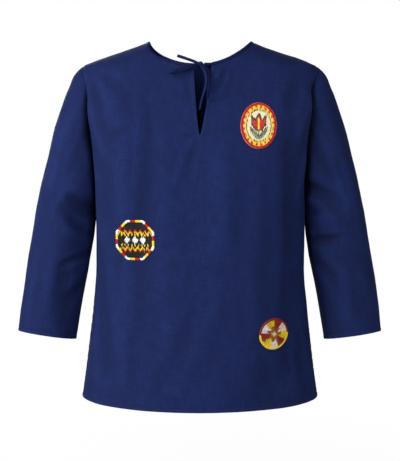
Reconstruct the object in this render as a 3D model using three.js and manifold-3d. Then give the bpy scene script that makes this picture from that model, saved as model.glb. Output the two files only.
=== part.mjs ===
// A farmer's smock of plain navy cotton, filled out as if worn: a pullover with a bound round neck, a tied front
// slit, dropped set-in sleeves to the forearm and three sewn-on patches.
// Millimetres, +Z up, the front towards -Y. The origin lies between the two points where the shoulder seams meet
// the neck edge. Every piece of cloth is an open wall, so neck, cuffs, hem and armholes are real openings.
import * as THREE from "three";
import { mergeVertices } from "three/addons/utils/BufferGeometryUtils.js";
import Module from "manifold-3d";

const wasm = await Module();
wasm.setup();

// ---------------------------------------------------------------- driving dimensions
const CLOTH = 1.5; // one wall of cloth
const SEAM_GAP = 0.3; // pieces that are sewn together stay this far apart
const EDGE_PULL = 0.8 * SEAM_GAP; // how far each edge stands back from its seam line

const NECK = { half: 99, frontDrop: 45, backDrop: 32, curve: 1.9 };
const HEM = -704;
const CUFF = -579;
const SLIT = { end: -179, left: 12.5, leftCurve: 0.6, right: 22.5, rightCurve: 0.76 };

const BINDING = { width: 5, leg: 0.9, clear: 0.7, shoulderSlack: 0.8, seat: 1.5 };
const TAPE = { width: 6, thick: 1.6, bevel: 0.45, step: 6 };
const KNOT = { x: 0.5, y: -89, z: -45.5, rx: 6.8, ry: 4.6, rz: 4.6 };
const PATCH_THICK = 1.6;

// Level sections of the body, from the shoulders to the hem: half width, depth in front of and behind the side
// line, and how square the section is (2 is an ellipse).
const BODY = [
  { z: 8, half: 80, front: 57, back: 57, square: 2.1 },
  { z: 0, half: NECK.half, front: 60, back: 60, square: 2.1 },
  { z: -8, half: 120, front: 64, back: 63, square: 2.1 },
  { z: -24, half: 167, front: 72, back: 69, square: 2.2 },
  { z: -40, half: 213, front: 80, back: 76, square: 2.3 },
  { z: -48, half: 228, front: 83.5, back: 80, square: 2.4 },
  { z: -60, half: 231.5, front: 88, back: 86, square: 2.5 },
  { z: -90, half: 234, front: 98, back: 98, square: 2.65 },
  { z: -120, half: 235, front: 107, back: 106, square: 3 },
  { z: -156, half: 232, front: 116, back: 113, square: 3.2 },
  { z: -216, half: 222, front: 124, back: 118, square: 3.2 },
  { z: -276, half: 212, front: 127, back: 116, square: 3 },
  { z: -335, half: 207, front: 128, back: 113, square: 2.7 },
  { z: -436, half: 206, front: 129, back: 114, square: 2.5 },
  { z: -520, half: 211, front: 131, back: 118, square: 2.3 },
  { z: -592, half: 219, front: 133, back: 123, square: 2.1 },
  { z: -640, half: 226, front: 135, back: 127, square: 2 },
  { z: HEM, half: 237, front: 138, back: 133, square: 2 },
];

// Sections across the sleeve, named by the height of their middle: how far out the outer edge stands, the half
// width, the half depth, how much the outer edge is raised (tilt) and the front edge is raised (lean), in
// degrees, and how far the middle comes forward.
const SLEEVE = [
  { level: -40, outer: 211, half: 14, depth: 10, tilt: 0, lean: 0, forward: 0 },
  { level: -48, outer: 230, half: 21, depth: 17, tilt: 0, lean: 0, forward: 0 },
  { level: -60, outer: 243, half: 33, depth: 28, tilt: 0.5, lean: 0, forward: 0 },
  { level: -72, outer: 251, half: 40, depth: 39, tilt: 1, lean: 0, forward: 0 },
  { level: -88, outer: 257.5, half: 46, depth: 47, tilt: 1.5, lean: 0, forward: 0 },
  { level: -104, outer: 264.5, half: 52, depth: 53, tilt: 2, lean: 0, forward: 0 },
  { level: -128, outer: 272.5, half: 58, depth: 58, tilt: 3, lean: 0, forward: 0 },
  { level: -152, outer: 280, half: 62, depth: 62, tilt: 3.5, lean: 0, forward: 0 },
  { level: -184, outer: 290, half: 64, depth: 67, tilt: 4.5, lean: 0, forward: 0 },
  { level: -232, outer: 302, half: 63, depth: 71, tilt: 5.5, lean: 0, forward: 0 },
  { level: -280, outer: 314, half: 62, depth: 71, tilt: 6.5, lean: 0, forward: 0 },
  { level: -335, outer: 325.5, half: 60, depth: 70, tilt: 8, lean: 0, forward: 0 },
  { level: -376, outer: 332.5, half: 61, depth: 67, tilt: 8.9, lean: 1.5, forward: 0.5 },
  { level: -424, outer: 341, half: 60.6, depth: 63, tilt: 8.9, lean: 3.5, forward: 2.5 },
  { level: -520, outer: 356, half: 59.2, depth: 55, tilt: 8.9, lean: 7, forward: 11 },
  { level: CUFF, outer: 362.5, half: 57.8, depth: 50, tilt: 8.6, lean: 8.5, forward: 20 },
];

// The large soft folds. Each runs from one place to another on its piece and is a ridge (height above zero) or a
// trough (below zero). On the body a place is the distance round from the middle, viewer's left negative, and the
// height; on a sleeve it is the turn in degrees from the outer edge through the front, and the section level.
const BODY_FOLDS = {
  front: [
    { fromAcross: -182, fromZ: -92, toAcross: -152, toZ: -170, width: 22, height: 5 },
    { fromAcross: -150, fromZ: -150, toAcross: -152, toZ: -350, width: 20, height: 5 },
    { fromAcross: -104, fromZ: -190, toAcross: -112, toZ: -560, width: 26, height: -4 },
    { fromAcross: 40, fromZ: -170, toAcross: 36, toZ: -430, width: 28, height: 5 },
    { fromAcross: 168, fromZ: -140, toAcross: 186, toZ: -430, width: 24, height: -8 },
    { fromAcross: 178, fromZ: -380, toAcross: 176, toZ: -670, width: 28, height: -6 },
    { fromAcross: -214, fromZ: -380, toAcross: -196, toZ: -660, width: 26, height: -5 },
    { fromAcross: 108, fromZ: -420, toAcross: 96, toZ: -680, width: 26, height: 4 },
    { fromAcross: -60, fromZ: -430, toAcross: -48, toZ: -680, width: 28, height: 4 },
  ],
  back: [
    { fromAcross: 176, fromZ: -110, toAcross: 148, toZ: -330, width: 24, height: -6 },
    { fromAcross: -180, fromZ: -120, toAcross: -156, toZ: -390, width: 26, height: -7 },
    { fromAcross: 52, fromZ: -200, toAcross: 70, toZ: -660, width: 30, height: 5 },
    { fromAcross: -70, fromZ: -250, toAcross: -58, toZ: -680, width: 28, height: 5 },
    { fromAcross: 196, fromZ: -400, toAcross: 178, toZ: -670, width: 26, height: -6 },
    { fromAcross: -10, fromZ: -330, toAcross: -2, toZ: -640, width: 24, height: -5 },
  ],
};
const SLEEVE_FOLDS = {
  left: [
    { fromTurn: 80, fromLevel: -305, toTurn: 150, toLevel: -352, width: 20, height: -7 },
    { fromTurn: 40, fromLevel: -130, toTurn: 52, toLevel: -300, width: 20, height: 4 },
    { fromTurn: 112, fromLevel: -390, toTurn: 104, toLevel: -560, width: 18, height: -4 },
    { fromTurn: -70, fromLevel: -330, toTurn: -140, toLevel: -350, width: 20, height: -7 },
    { fromTurn: -48, fromLevel: -200, toTurn: -60, toLevel: -540, width: 22, height: 4 },
  ],
  right: [
    { fromTurn: 125, fromLevel: -262, toTurn: 82, toLevel: -330, width: 18, height: -6 },
    { fromTurn: 145, fromLevel: -372, toTurn: 88, toLevel: -388, width: 16, height: -5 },
    { fromTurn: 62, fromLevel: -150, toTurn: 60, toLevel: -330, width: 20, height: 4 },
    { fromTurn: -64, fromLevel: -300, toTurn: -140, toLevel: -340, width: 20, height: -7 },
    { fromTurn: -52, fromLevel: -180, toTurn: -44, toLevel: -540, width: 22, height: 4 },
  ],
};

// Grid of each half panel and of a sleeve: how many cells lie along each part of its edge. The last row of a
// panel, under the neck and shoulder edge, is split once more at EDGE_ROW of its height.
const HALF_GRID = { neck: 7, shoulder: 6, closed: 17, open: 7, side: 10, armhole: 14 };
const SLEEVE_ROWS = 14;
const EDGE_ROW = 0.65;

// The patches: place of the middle on the front, size, colour and number of sides of the outline.
const PATCHES = [
  { name: "patch_oval", x: 110, z: -161, wide: 68, high: 86, sides: 28, color: 0xc8202c },
  { name: "patch_octagon", x: -123.5, z: -377, wide: 74, high: 77, sides: 8, color: 0x15151a },
  { name: "patch_round", x: 143, z: -560, wide: 61, high: 61, sides: 28, color: 0x8e1f2a },
];

// The short stretches of the strip between the ends of the neck binding and the knot.
const ROOTS = [
  {
    name: "tie_root_left",
    wideStart: [0, -0.5, 0.87],
    wideEnd: [0, -0.3, 0.95],
    route: [
      [-11.9, -84.6, -46.6],
      [-9.6, -86, -46.4],
      [-6.9, -87.6, -46.2],
    ],
  },
  {
    name: "tie_root_right",
    wideStart: [0, -0.5, 0.87],
    wideEnd: [0, -0.3, 0.95],
    route: [
      [21.6, -84.4, -45.2],
      [17, -86.2, -45.4],
      [12.4, -87.8, -45.6],
      [7.9, -88.6, -45.6],
    ],
  },
];

// The four free stretches of the tie, as points along each, starting at the knot. wideStart and wideEnd are the
// directions that the width of the tape runs in at its two ends.
const TIES = [
  {
    name: "tie_end_upper",
    wideStart: [0.3, -0.3, 0.9],
    wideEnd: [0.33, 0.1, 0.94],
    route: [
      [-6.5, -90.4, -43.2],
      [-14, -90.9, -39.8],
      [-22, -90.5, -37],
      [-32, -89, -33.5],
      [-43, -88, -30],
    ],
  },
  {
    name: "tie_loop_left",
    wideStart: [0.3, -0.38, -0.87],
    wideEnd: [0.3, -0.38, -0.87],
    route: [
      [-6.6, -93, -46.5],
      [-18, -98, -47.5],
      [-32, -103, -51.5],
      [-44, -106, -55.5],
      [-53, -104, -60],
      [-55.5, -98, -64],
      [-50, -93.8, -65],
      [-40, -92.6, -62],
      [-27, -91, -57],
      [-15, -90.4, -54],
      [-4.6, -90.4, -52.2],
    ],
  },
  {
    name: "tie_loop_right",
    wideStart: [0.96, 0.2, 0.2],
    wideEnd: [0.96, 0.2, 0.2],
    route: [
      [6.4, -92.8, -49],
      [13, -95.2, -53],
      [19.5, -99, -60],
      [21, -105, -74],
      [20.5, -112, -88],
      [19.5, -118, -98],
      [18.5, -119, -107],
      [17.5, -112.5, -110],
      [16.5, -107, -104],
      [16, -102.4, -92],
      [15.5, -97.6, -78],
      [13.5, -92.8, -64],
      [9, -89, -54],
    ],
  },
  {
    name: "tie_end_hanging",
    wideStart: [1, 0, 0],
    wideEnd: [0.4, -0.9, 0],
    route: [
      [0.4, -94.6, -48.6],
      [4.6, -98.4, -56],
      [7.4, -102.4, -66],
      [8.2, -106, -78],
      [6.8, -109.4, -90],
      [4.2, -112.8, -102],
      [1.4, -116, -116],
      [0, -118.6, -131],
    ],
  },
];

const NAVY = 0x242f5e;
const NAVY_DARK = 0x1b2450;

// ---------------------------------------------------------------- small tools
const clamp = THREE.MathUtils.clamp;
const toRadians = THREE.MathUtils.degToRad;

// A smooth reading of one column of a table: it never swings past the rows it joins.
function smoothColumn(rows, along, column) {
  const at = rows.map((row) => row[along]);
  const value = rows.map((row) => row[column]);
  const rise = at.slice(1).map((end, i) => (value[i + 1] - value[i]) / (end - at[i]));
  const slope = value.map((_, i) => {
    if (i === 0) return rise[0];
    if (i === value.length - 1) return rise[i - 1];
    const before = rise[i - 1];
    const after = rise[i];
    return before * after <= 0 ? 0 : (2 * before * after) / (before + after);
  });
  return (place) => {
    let i = 0;
    while (i < at.length - 2 && place < at[i + 1]) i += 1;
    const span = at[i + 1] - at[i];
    const t = clamp((place - at[i]) / span, 0, 1);
    const start = value[i] * (1 + 2 * t) * (1 - t) ** 2 + span * slope[i] * t * (1 - t) ** 2;
    const end = value[i + 1] * t * t * (3 - 2 * t) - span * slope[i + 1] * t * t * (1 - t);
    return start + end;
  };
}

// The place where a rising or falling function crosses zero.
function crossing(low, high, value) {
  const rising = value(high) > 0;
  for (let i = 0; i < 50; i += 1) {
    const middle = (low + high) / 2;
    if (value(middle) > 0 === rising) high = middle;
    else low = middle;
  }
  return (low + high) / 2;
}

// Evenly spaced samples of a line of places, measured by the distance between their points.
function evenly(places, points, count) {
  const reach = [0];
  for (let i = 1; i < points.length; i += 1) reach.push(reach[i - 1] + points[i].distanceTo(points[i - 1]));
  const total = reach[reach.length - 1];
  return Array.from({ length: count + 1 }, (_, k) => {
    const target = (total * k) / count;
    let i = 0;
    while (i < reach.length - 2 && reach[i + 1] < target) i += 1;
    const t = clamp((target - reach[i]) / (reach[i + 1] - reach[i]), 0, 1);
    return [0, 1].map((c) => places[i][c] + (places[i + 1][c] - places[i][c]) * t);
  });
}

// A grid of places between four edge lines, as a cutter grades a pattern piece.
function patchwork(bottom, top, left, right) {
  const across = bottom.length - 1;
  const up = left.length - 1;
  return left.map((_, j) =>
    bottom.map((__, i) => {
      const u = i / across;
      const v = j / up;
      return [0, 1].map(
        (c) =>
          (1 - v) * bottom[i][c] + v * top[i][c] + (1 - u) * left[j][c] + u * right[j][c] -
          (1 - u) * (1 - v) * bottom[0][c] - u * (1 - v) * bottom[across][c] -
          (1 - u) * v * top[0][c] - u * v * top[across][c],
      );
    }),
  );
}

// The height of all folds at a place, given as two distances in millimetres.
function foldHeight(folds, across, up) {
  let height = 0;
  for (const fold of folds) {
    const runX = fold.to[0] - fold.from[0];
    const runY = fold.to[1] - fold.from[1];
    const length = Math.hypot(runX, runY);
    const along = ((across - fold.from[0]) * runX + (up - fold.from[1]) * runY) / length;
    const off = ((across - fold.from[0]) * runY - (up - fold.from[1]) * runX) / length;
    const inside = clamp(along / length, 0, 1);
    const fade = Math.sin(Math.PI * inside) ** 0.8;
    height += fold.height * fade * Math.exp(-((off / fold.width) ** 2));
  }
  return height;
}

// ---------------------------------------------------------------- the body's form
const body = {};
for (const column of ["half", "front", "back", "square"]) body[column] = smoothColumn(BODY, "z", column);
const RING_STEPS = 48;

// One quarter of a level section: the distance round from the middle at even turns.
function quarterRing(face, z) {
  const half = body.half(z);
  const deep = body[face](z);
  const power = body.square(z);
  const ring = [];
  for (let i = 0; i <= RING_STEPS; i += 1) {
    const turn = (Math.PI / 2) * (i / RING_STEPS);
    const reach =
      ((Math.sin(turn) / half) ** power + (Math.cos(turn) / deep) ** power) ** (-1 / power);
    const x = reach * Math.sin(turn);
    const y = reach * Math.cos(turn);
    const last = ring[i - 1];
    ring.push({ x, y, around: last ? last.around + Math.hypot(x - last.x, y - last.y) : 0 });
  }
  return ring;
}

const girth = (face, z) => quarterRing(face, z)[RING_STEPS].around;

// The distance round from the middle of the point of a section that lies this far out sideways.
function aroundAt(face, x, z) {
  const ring = quarterRing(face, z);
  let i = 0;
  while (i < RING_STEPS - 1 && ring[i + 1].x < x) i += 1;
  const t = clamp((x - ring[i].x) / (ring[i + 1].x - ring[i].x), 0, 1);
  return ring[i].around + (ring[i + 1].around - ring[i].around) * t;
}

// How far outside the body's form a point lies: above zero outside, zero on it.
function outside(x, y, z) {
  const deep = y < 0 ? body.front(z) : body.back(z);
  const power = body.square(z);
  return (Math.abs(x) / body.half(z)) ** power + (Math.abs(y) / deep) ** power - 1;
}

function bodyNormal(x, y, z) {
  const e = 0.5;
  return new THREE.Vector3(
    outside(x + e, y, z) - outside(x - e, y, z),
    outside(x, y + e, z) - outside(x, y - e, z),
    outside(x, y, z + e) - outside(x, y, z - e),
  ).normalize();
}

const bodyFolds = {};
for (const face of ["front", "back"])
  bodyFolds[face] = BODY_FOLDS[face].map((fold) => ({
    ...fold,
    from: [fold.fromAcross, fold.fromZ],
    to: [fold.toAcross, fold.toZ],
  }));

// A point of the cloth's outer face on the body, and the direction it looks in.
function bodyPlace(face, across, z) {
  const ring = quarterRing(face, z);
  const around = Math.min(Math.abs(across), ring[RING_STEPS].around);
  let i = 0;
  while (i < RING_STEPS - 1 && ring[i + 1].around < around) i += 1;
  const t = clamp((around - ring[i].around) / (ring[i + 1].around - ring[i].around), 0, 1);
  const x = (ring[i].x + (ring[i + 1].x - ring[i].x) * t) * Math.sign(across);
  const y = (ring[i].y + (ring[i + 1].y - ring[i].y) * t) * (face === "front" ? -1 : 1);
  const normal = bodyNormal(x, y, z);
  const point = new THREE.Vector3(x, y, z);
  return { point: point.addScaledVector(normal, foldHeight(bodyFolds[face], across, z)), normal };
}

// ---------------------------------------------------------------- the sleeve's form
const sleeve = {};
for (const column of ["outer", "half", "depth", "tilt", "lean", "forward"])
  sleeve[column] = smoothColumn(SLEEVE, "level", column);
const SLEEVE_ROUND = 62; // millimetres round the sleeve for a turn of one radian

const sleeveFolds = {};
for (const side of ["left", "right"])
  sleeveFolds[side] = SLEEVE_FOLDS[side].map((fold) => ({
    ...fold,
    from: [toRadians(fold.fromTurn) * SLEEVE_ROUND, fold.fromLevel],
    to: [toRadians(fold.toTurn) * SLEEVE_ROUND, fold.toLevel],
  }));

// A point of the smooth sleeve on the side of +X. The turn goes from the outer edge through the front.
function sleeveForm(turn, level) {
  const tilt = toRadians(sleeve.tilt(level));
  const lean = toRadians(sleeve.lean(level));
  const half = sleeve.half(level);
  const middle = new THREE.Vector3(
    sleeve.outer(level) - half * Math.cos(tilt),
    -sleeve.forward(level),
    level,
  );
  return middle
    .addScaledVector(new THREE.Vector3(Math.cos(tilt), 0, Math.sin(tilt)), half * Math.cos(turn))
    .addScaledVector(
      new THREE.Vector3(0, -Math.cos(lean), Math.sin(lean)),
      sleeve.depth(level) * Math.sin(turn),
    );
}

function sleevePlace(side, turn, level) {
  const e = 0.01;
  const round = sleeveForm(turn + e, level).sub(sleeveForm(turn - e, level));
  const up = sleeveForm(turn, level + 1).sub(sleeveForm(turn, level - 1));
  const normal = up.cross(round).normalize();
  const height = foldHeight(sleeveFolds[side], turn * SLEEVE_ROUND, level);
  const point = sleeveForm(turn, level).addScaledVector(normal, height);
  if (side === "left") {
    point.x = -point.x;
    normal.x = -normal.x;
  }
  return { point, normal };
}

// ---------------------------------------------------------------- seam lines
const outsideAt = (point) => outside(point.x, point.y, point.z);
const capTop = crossing(-60, -40, (level) => outsideAt(sleeveForm(0, level)));
const underarm = crossing(-376, -280, (level) => outsideAt(sleeveForm(Math.PI, level)));
const UNDERARM_Z = sleeveForm(Math.PI, underarm).z;
const SHOULDER_Z = sleeveForm(0, capTop).z;

// The armhole from the top of the sleeve to the underarm, where the sleeve's form leaves the body's. The turn is
// above zero in front and below zero behind.
function armhole(face, count) {
  const sign = face === "front" ? 1 : -1;
  const samples = 90;
  const places = [];
  for (let k = 0; k <= samples; k += 1) {
    const share = (1 - Math.cos((Math.PI * k) / samples)) / 2;
    const level = capTop + (underarm - capTop) * share;
    let turn = k === 0 ? 0 : Math.PI;
    if (k > 0 && k < samples)
      turn = crossing(0, Math.PI, (value) => outsideAt(sleeveForm(sign * value, level)));
    places.push([sign * turn, level]);
  }
  return evenly(places, places.map(([turn, level]) => sleeveForm(turn, level)), count);
}

// The neck edge from the middle, or the slit, to the shoulder.
function neckPlace(face, share, startX) {
  const startTurn = Math.asin(startX / NECK.half);
  const turn = startTurn + (Math.PI / 2 - startTurn) * share;
  const drop = face === "front" ? NECK.frontDrop : NECK.backDrop;
  const z = -drop * Math.cos(turn) ** NECK.curve;
  return [aroundAt(face, NECK.half * Math.sin(turn), z), z];
}

// How far the slit's edge stands from the middle at a height.
function slitEdge(side, z) {
  const open = clamp((z - SLIT.end) / (-NECK.frontDrop - SLIT.end), 0, 1);
  return SLIT[side] * open ** SLIT[`${side}Curve`];
}

// ---------------------------------------------------------------- solids
// A closed mesh from points and triangles, turned to face outwards.
function solidMesh(name, points, triangles, color) {
  let volume = 0;
  for (const [a, b, c] of triangles)
    volume += points[a].dot(new THREE.Vector3().crossVectors(points[b], points[c]));
  const faces = volume < 0 ? triangles.map(([a, b, c]) => [a, c, b]) : triangles;
  const geometry = new THREE.BufferGeometry();
  geometry.setAttribute(
    "position",
    new THREE.Float32BufferAttribute(points.flatMap((p) => [p.x, p.y, p.z]), 3),
  );
  geometry.setIndex(faces.flat());
  geometry.computeVertexNormals();
  const material = new THREE.MeshStandardMaterial({ color, roughness: 0.85, metalness: 0 });
  const mesh = new THREE.Mesh(geometry, material);
  mesh.name = name;
  return mesh;
}

// A wall of cloth: the given places are its outer face, and the inner face lies a thickness behind it.
function wallMesh(name, places, quads, thickness, color) {
  const outer = places.map(({ point }) => point);
  const inner = places.map(({ point, normal }) => point.clone().addScaledVector(normal, -thickness));
  const count = places.length;
  const triangles = [];
  const edges = new Map();
  for (const quad of quads) {
    const [a, b, c, d] = quad;
    triangles.push([a, b, c], [a, c, d]);
    triangles.push([a + count, c + count, b + count], [a + count, d + count, c + count]);
    quad.forEach((from, k) => {
      const to = quad[(k + 1) % 4];
      if (edges.has(`${to},${from}`)) edges.delete(`${to},${from}`);
      else edges.set(`${from},${to}`, [from, to]);
    });
  }
  for (const [from, to] of edges.values())
    triangles.push([to, from, from + count], [to, from + count, to + count]);
  return solidMesh(name, [...outer, ...inner], triangles, color);
}

// A solid through a row of closed outlines that all have the same number of points.
function sweptMesh(name, outlines, profile, color) {
  const sides = profile.length;
  const points = outlines.flat();
  const triangles = [];
  for (let k = 0; k < outlines.length - 1; k += 1)
    for (let i = 0; i < sides; i += 1) {
      const here = k * sides;
      const next = (i + 1) % sides;
      triangles.push([here + i, here + next, here + sides + next]);
      triangles.push([here + i, here + sides + next, here + sides + i]);
    }
  const last = (outlines.length - 1) * sides;
  const turning = Math.sign(THREE.ShapeUtils.area(profile));
  for (const cap of THREE.ShapeUtils.triangulateShape(profile, [])) {
    const same = Math.sign(THREE.ShapeUtils.area(cap.map((i) => profile[i]))) === turning;
    const [a, b, c] = same ? cap : [...cap].reverse();
    triangles.push([a, c, b]);
    triangles.push([last + a, last + b, last + c]);
  }
  return solidMesh(name, points, triangles, color);
}

// ---------------------------------------------------------------- front and back
// The grid of one half of a panel: rows from the hem up, each from the middle to the side.
function halfPanel(face, side) {
  const { neck, shoulder, closed, open, side: sideCells, armhole: armholeCells } = HALF_GRID;
  const across = neck + shoulder;
  const up = closed + open;
  const sign = side === "right" ? 1 : -1;
  const slit = face === "front";
  const neckStart = slit ? SLIT[side] : 0;
  const steps = (count, make) => Array.from({ length: count + 1 }, (_, k) => make(k / count));

  const hem = steps(across, (t) => [girth(face, HEM) * t, HEM]);
  const neckTop = neckPlace(face, 0, neckStart);
  const middleClosed = steps(closed, (t) => [0, HEM + (SLIT.end - HEM) * t]);
  const middleOpen = steps(open, (t) => {
    const z = SLIT.end + (neckTop[1] - SLIT.end) * t;
    return [slit ? aroundAt(face, slitEdge(side, z), z) : 0, z];
  });
  middleOpen[open] = neckTop;
  const middle = [...middleClosed, ...middleOpen.slice(1)];
  const sideSeam = steps(sideCells, (t) => {
    const z = HEM + (UNDERARM_Z - HEM) * t;
    return [girth(face, z), z];
  });
  const armholeUp = armhole(face, armholeCells)
    .reverse()
    .map(([turn, level]) => sleeveForm(turn, level))
    .map((point) => [aroundAt(face, point.x, point.z), point.z]);
  const sideLine = [...sideSeam, ...armholeUp.slice(1)];
  const neckLine = steps(neck, (t) => neckPlace(face, t, neckStart));
  const shoulderLine = steps(shoulder, (t) => [girth(face, SHOULDER_Z * t), SHOULDER_Z * t]);
  const top = [...neckLine, ...shoulderLine.slice(1)];
  top[across] = sideLine[up];

  const places = patchwork(hem, top, middle, sideLine);
  const underEdge = places[up].map((place, i) =>
    place.map((value, c) => places[up - 1][i][c] + (value - places[up - 1][i][c]) * EDGE_ROW),
  );
  places.splice(up, 0, underEdge);
  const grid = places.map((row) => row.map(([s, z]) => bodyPlace(face, sign * s, z)));
  const neckEdge = grid[up + 1].slice(0, neck + 1).map(({ point, normal }, i) => ({
    point: point.clone(),
    normal,
    down: grid[up][i].point.clone().sub(point).normalize(),
  }));
  drawBackPanel(grid, neck);
  return { grid, neckEdge };
}

const halves = {};
for (const face of ["front", "back"])
  halves[face] = { left: halfPanel(face, "left"), right: halfPanel(face, "right") };

// A function that moves a point of a grid of places towards one of its neighbours.
function puller(grid) {
  const before = grid.map((row) => row.map(({ point }) => point.clone()));
  return (j, i, toJ, toI, by) => {
    const way = before[toJ][toI].clone().sub(before[j][i]).normalize();
    grid[j][i].point.addScaledVector(way, by);
  };
}

// Moves the sewn edges back from their seam lines, and the neck edge down into its binding.
function drawBackPanel(grid, neck) {
  const up = grid.length - 1;
  const across = grid[0].length - 1;
  const pull = puller(grid);
  for (let j = 0; j < up; j += 1) pull(j, across, j, across - 1, EDGE_PULL);
  for (let i = 0; i < across; i += 1) pull(up, i, up - 1, i, i <= neck ? BINDING.seat : EDGE_PULL);
  pull(up, across, up - 1, across - 1, 2 * EDGE_PULL);
}

// The places and cells of a whole panel. Its two halves share the middle line except along the slit.
function wholePanel(face) {
  const places = [];
  const quads = [];
  const shared = [];
  for (const side of ["left", "right"]) {
    const index = halves[face][side].grid.map((row, j) =>
      row.map((place, i) => {
        const joined = i === 0 && (face === "back" || j <= HALF_GRID.closed);
        if (joined && side === "right") return shared[j];
        places.push(place);
        if (joined) shared[j] = places.length - 1;
        return places.length - 1;
      }),
    );
    const outward = (side === "right") === (face === "front");
    for (let j = 0; j < index.length - 1; j += 1)
      for (let i = 0; i < index[0].length - 1; i += 1) {
        const quad = [index[j][i], index[j][i + 1], index[j + 1][i + 1], index[j + 1][i]];
        quads.push(outward ? quad : quad.reverse());
      }
  }
  return { places, quads };
}

function panelMesh(face, color) {
  const { places, quads } = wholePanel(face);
  return wallMesh(face, places, quads, CLOTH, color);
}

// ---------------------------------------------------------------- sleeves
// One piece of cloth each, closed along the underarm seam and open to the body along the armhole.
function sleeveMesh(name, side, color) {
  const rows = SLEEVE_ROWS;
  const toPlace = ([turn, level]) => [turn * SLEEVE_ROUND, level];
  const capFront = armhole("front", HALF_GRID.armhole).map(toPlace);
  const capBack = armhole("back", HALF_GRID.armhole).map(toPlace).reverse();
  const cap = [...capBack, ...capFront.slice(1)];
  const edge = Math.PI * SLEEVE_ROUND;
  const cuff = cap.map((_, i) => [-edge + (2 * edge * i) / (cap.length - 1), CUFF]);
  const rise = (x) =>
    Array.from({ length: rows + 1 }, (_, j) => [x, CUFF + ((underarm - CUFF) * j) / rows]);
  const places = patchwork(cuff, cap, rise(-edge), rise(edge));
  const grid = places.map((row) => row.map(([s, level]) => sleevePlace(side, s / SLEEVE_ROUND, level)));

  const last = cap.length - 1;
  const pull = puller(grid);
  for (let j = 0; j < rows; j += 1) {
    pull(j, 0, j, 1, EDGE_PULL);
    pull(j, last, j, last - 1, EDGE_PULL);
  }
  for (let i = 1; i < last; i += 1) pull(rows, i, rows - 1, i, EDGE_PULL);
  pull(rows, 0, rows - 1, 1, 2 * EDGE_PULL);
  pull(rows, last, rows - 1, last - 1, 2 * EDGE_PULL);

  const points = grid.flat();
  const width = last + 1;
  const quads = [];
  for (let j = 0; j < rows; j += 1)
    for (let i = 0; i < last; i += 1) {
      const corner = j * width + i;
      const quad = [corner, corner + 1, corner + width + 1, corner + width];
      quads.push(side === "left" ? quad : quad.reverse());
    }
  return wallMesh(name, points, quads, CLOTH, color);
}

// ---------------------------------------------------------------- neck binding
// A folded strip that closes over the raw neck edge, from one side of the slit round the back to the other.
function bindingMesh(name, color) {
  const { neck } = HALF_GRID;
  const edge = (face, side) => halves[face][side].neckEdge;
  const shoulder = (side) => ({
    ...edge("front", side)[neck],
    down: edge("front", side)[neck].down.clone().add(edge("back", side)[neck].down).normalize(),
    slack: BINDING.shoulderSlack,
  });
  const path = [
    ...edge("front", "left").slice(0, neck),
    shoulder("left"),
    ...edge("back", "left").slice(1, neck).reverse(),
    ...edge("back", "right").slice(0, neck),
    shoulder("right"),
    ...edge("front", "right").slice(0, neck).reverse(),
  ];
  const { width, leg, clear } = BINDING;
  const outer = clear + leg;
  const inner = -CLOTH - clear;
  const profile = [
    [-width, clear],
    [-width, outer],
    [-0.4, outer],
    [0, outer - 0.5],
    [0, inner - leg + 0.5],
    [-0.4, inner - leg],
    [-width, inner - leg],
    [-width, inner],
    [-leg, inner],
    [-leg, clear],
  ].map(([up, out]) => new THREE.Vector2(up, out));
  const outlines = path.map(({ point, normal, down, slack = 0 }) => {
    const out = normal.clone().addScaledVector(down, -normal.dot(down)).normalize();
    return profile.map(({ x, y }) =>
      point
        .clone()
        .addScaledVector(down, -x)
        .addScaledVector(out, y + slack * Math.sign(y)),
    );
  });
  return sweptMesh(name, outlines, profile, color);
}

// ---------------------------------------------------------------- tie
// A flat tape through a row of points, its width turning slowly from one direction to another.
function tapeMesh(name, route, wideStart, wideEnd, color) {
  const curve = new THREE.CatmullRomCurve3(route.map((point) => new THREE.Vector3(...point)));
  const steps = Math.max(2, Math.round(curve.getLength() / TAPE.step));
  const wide = TAPE.width / 2;
  const deep = TAPE.thick / 2;
  const { bevel } = TAPE;
  const profile = [
    [-wide, -deep + bevel],
    [-wide + bevel, -deep],
    [wide - bevel, -deep],
    [wide, -deep + bevel],
    [wide, deep - bevel],
    [wide - bevel, deep],
    [-wide + bevel, deep],
    [-wide, deep - bevel],
  ].map(([across, out]) => new THREE.Vector2(across, out));
  const outlines = Array.from({ length: steps + 1 }, (_, k) => {
    const share = k / steps;
    const along = curve.getTangentAt(share);
    const across = new THREE.Vector3(...wideStart).lerp(new THREE.Vector3(...wideEnd), share);
    across.addScaledVector(along, -across.dot(along)).normalize();
    const out = new THREE.Vector3().crossVectors(across, along);
    const point = curve.getPointAt(share);
    return profile.map(({ x, y }) =>
      point.clone().addScaledVector(across, x).addScaledVector(out, y),
    );
  });
  return sweptMesh(name, outlines, profile, color);
}

function knotMesh(name, color) {
  const geometry = new THREE.SphereGeometry(1, 14, 10);
  geometry.scale(KNOT.rx, KNOT.ry, KNOT.rz);
  const material = new THREE.MeshStandardMaterial({ color, roughness: 0.85, metalness: 0 });
  const mesh = new THREE.Mesh(geometry, material);
  mesh.position.set(KNOT.x, KNOT.y, KNOT.z);
  mesh.name = name;
  return mesh;
}

// ---------------------------------------------------------------- patches
function toSolid(geometry) {
  const bare = new THREE.BufferGeometry();
  bare.setAttribute("position", geometry.getAttribute("position"));
  if (geometry.index) bare.setIndex(geometry.index);
  const merged = mergeVertices(bare, 1e-4);
  return new wasm.Manifold(
    new wasm.Mesh({
      numProp: 3,
      vertProperties: merged.getAttribute("position").array,
      triVerts: new Uint32Array(merged.index.array),
    }),
  );
}

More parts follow.
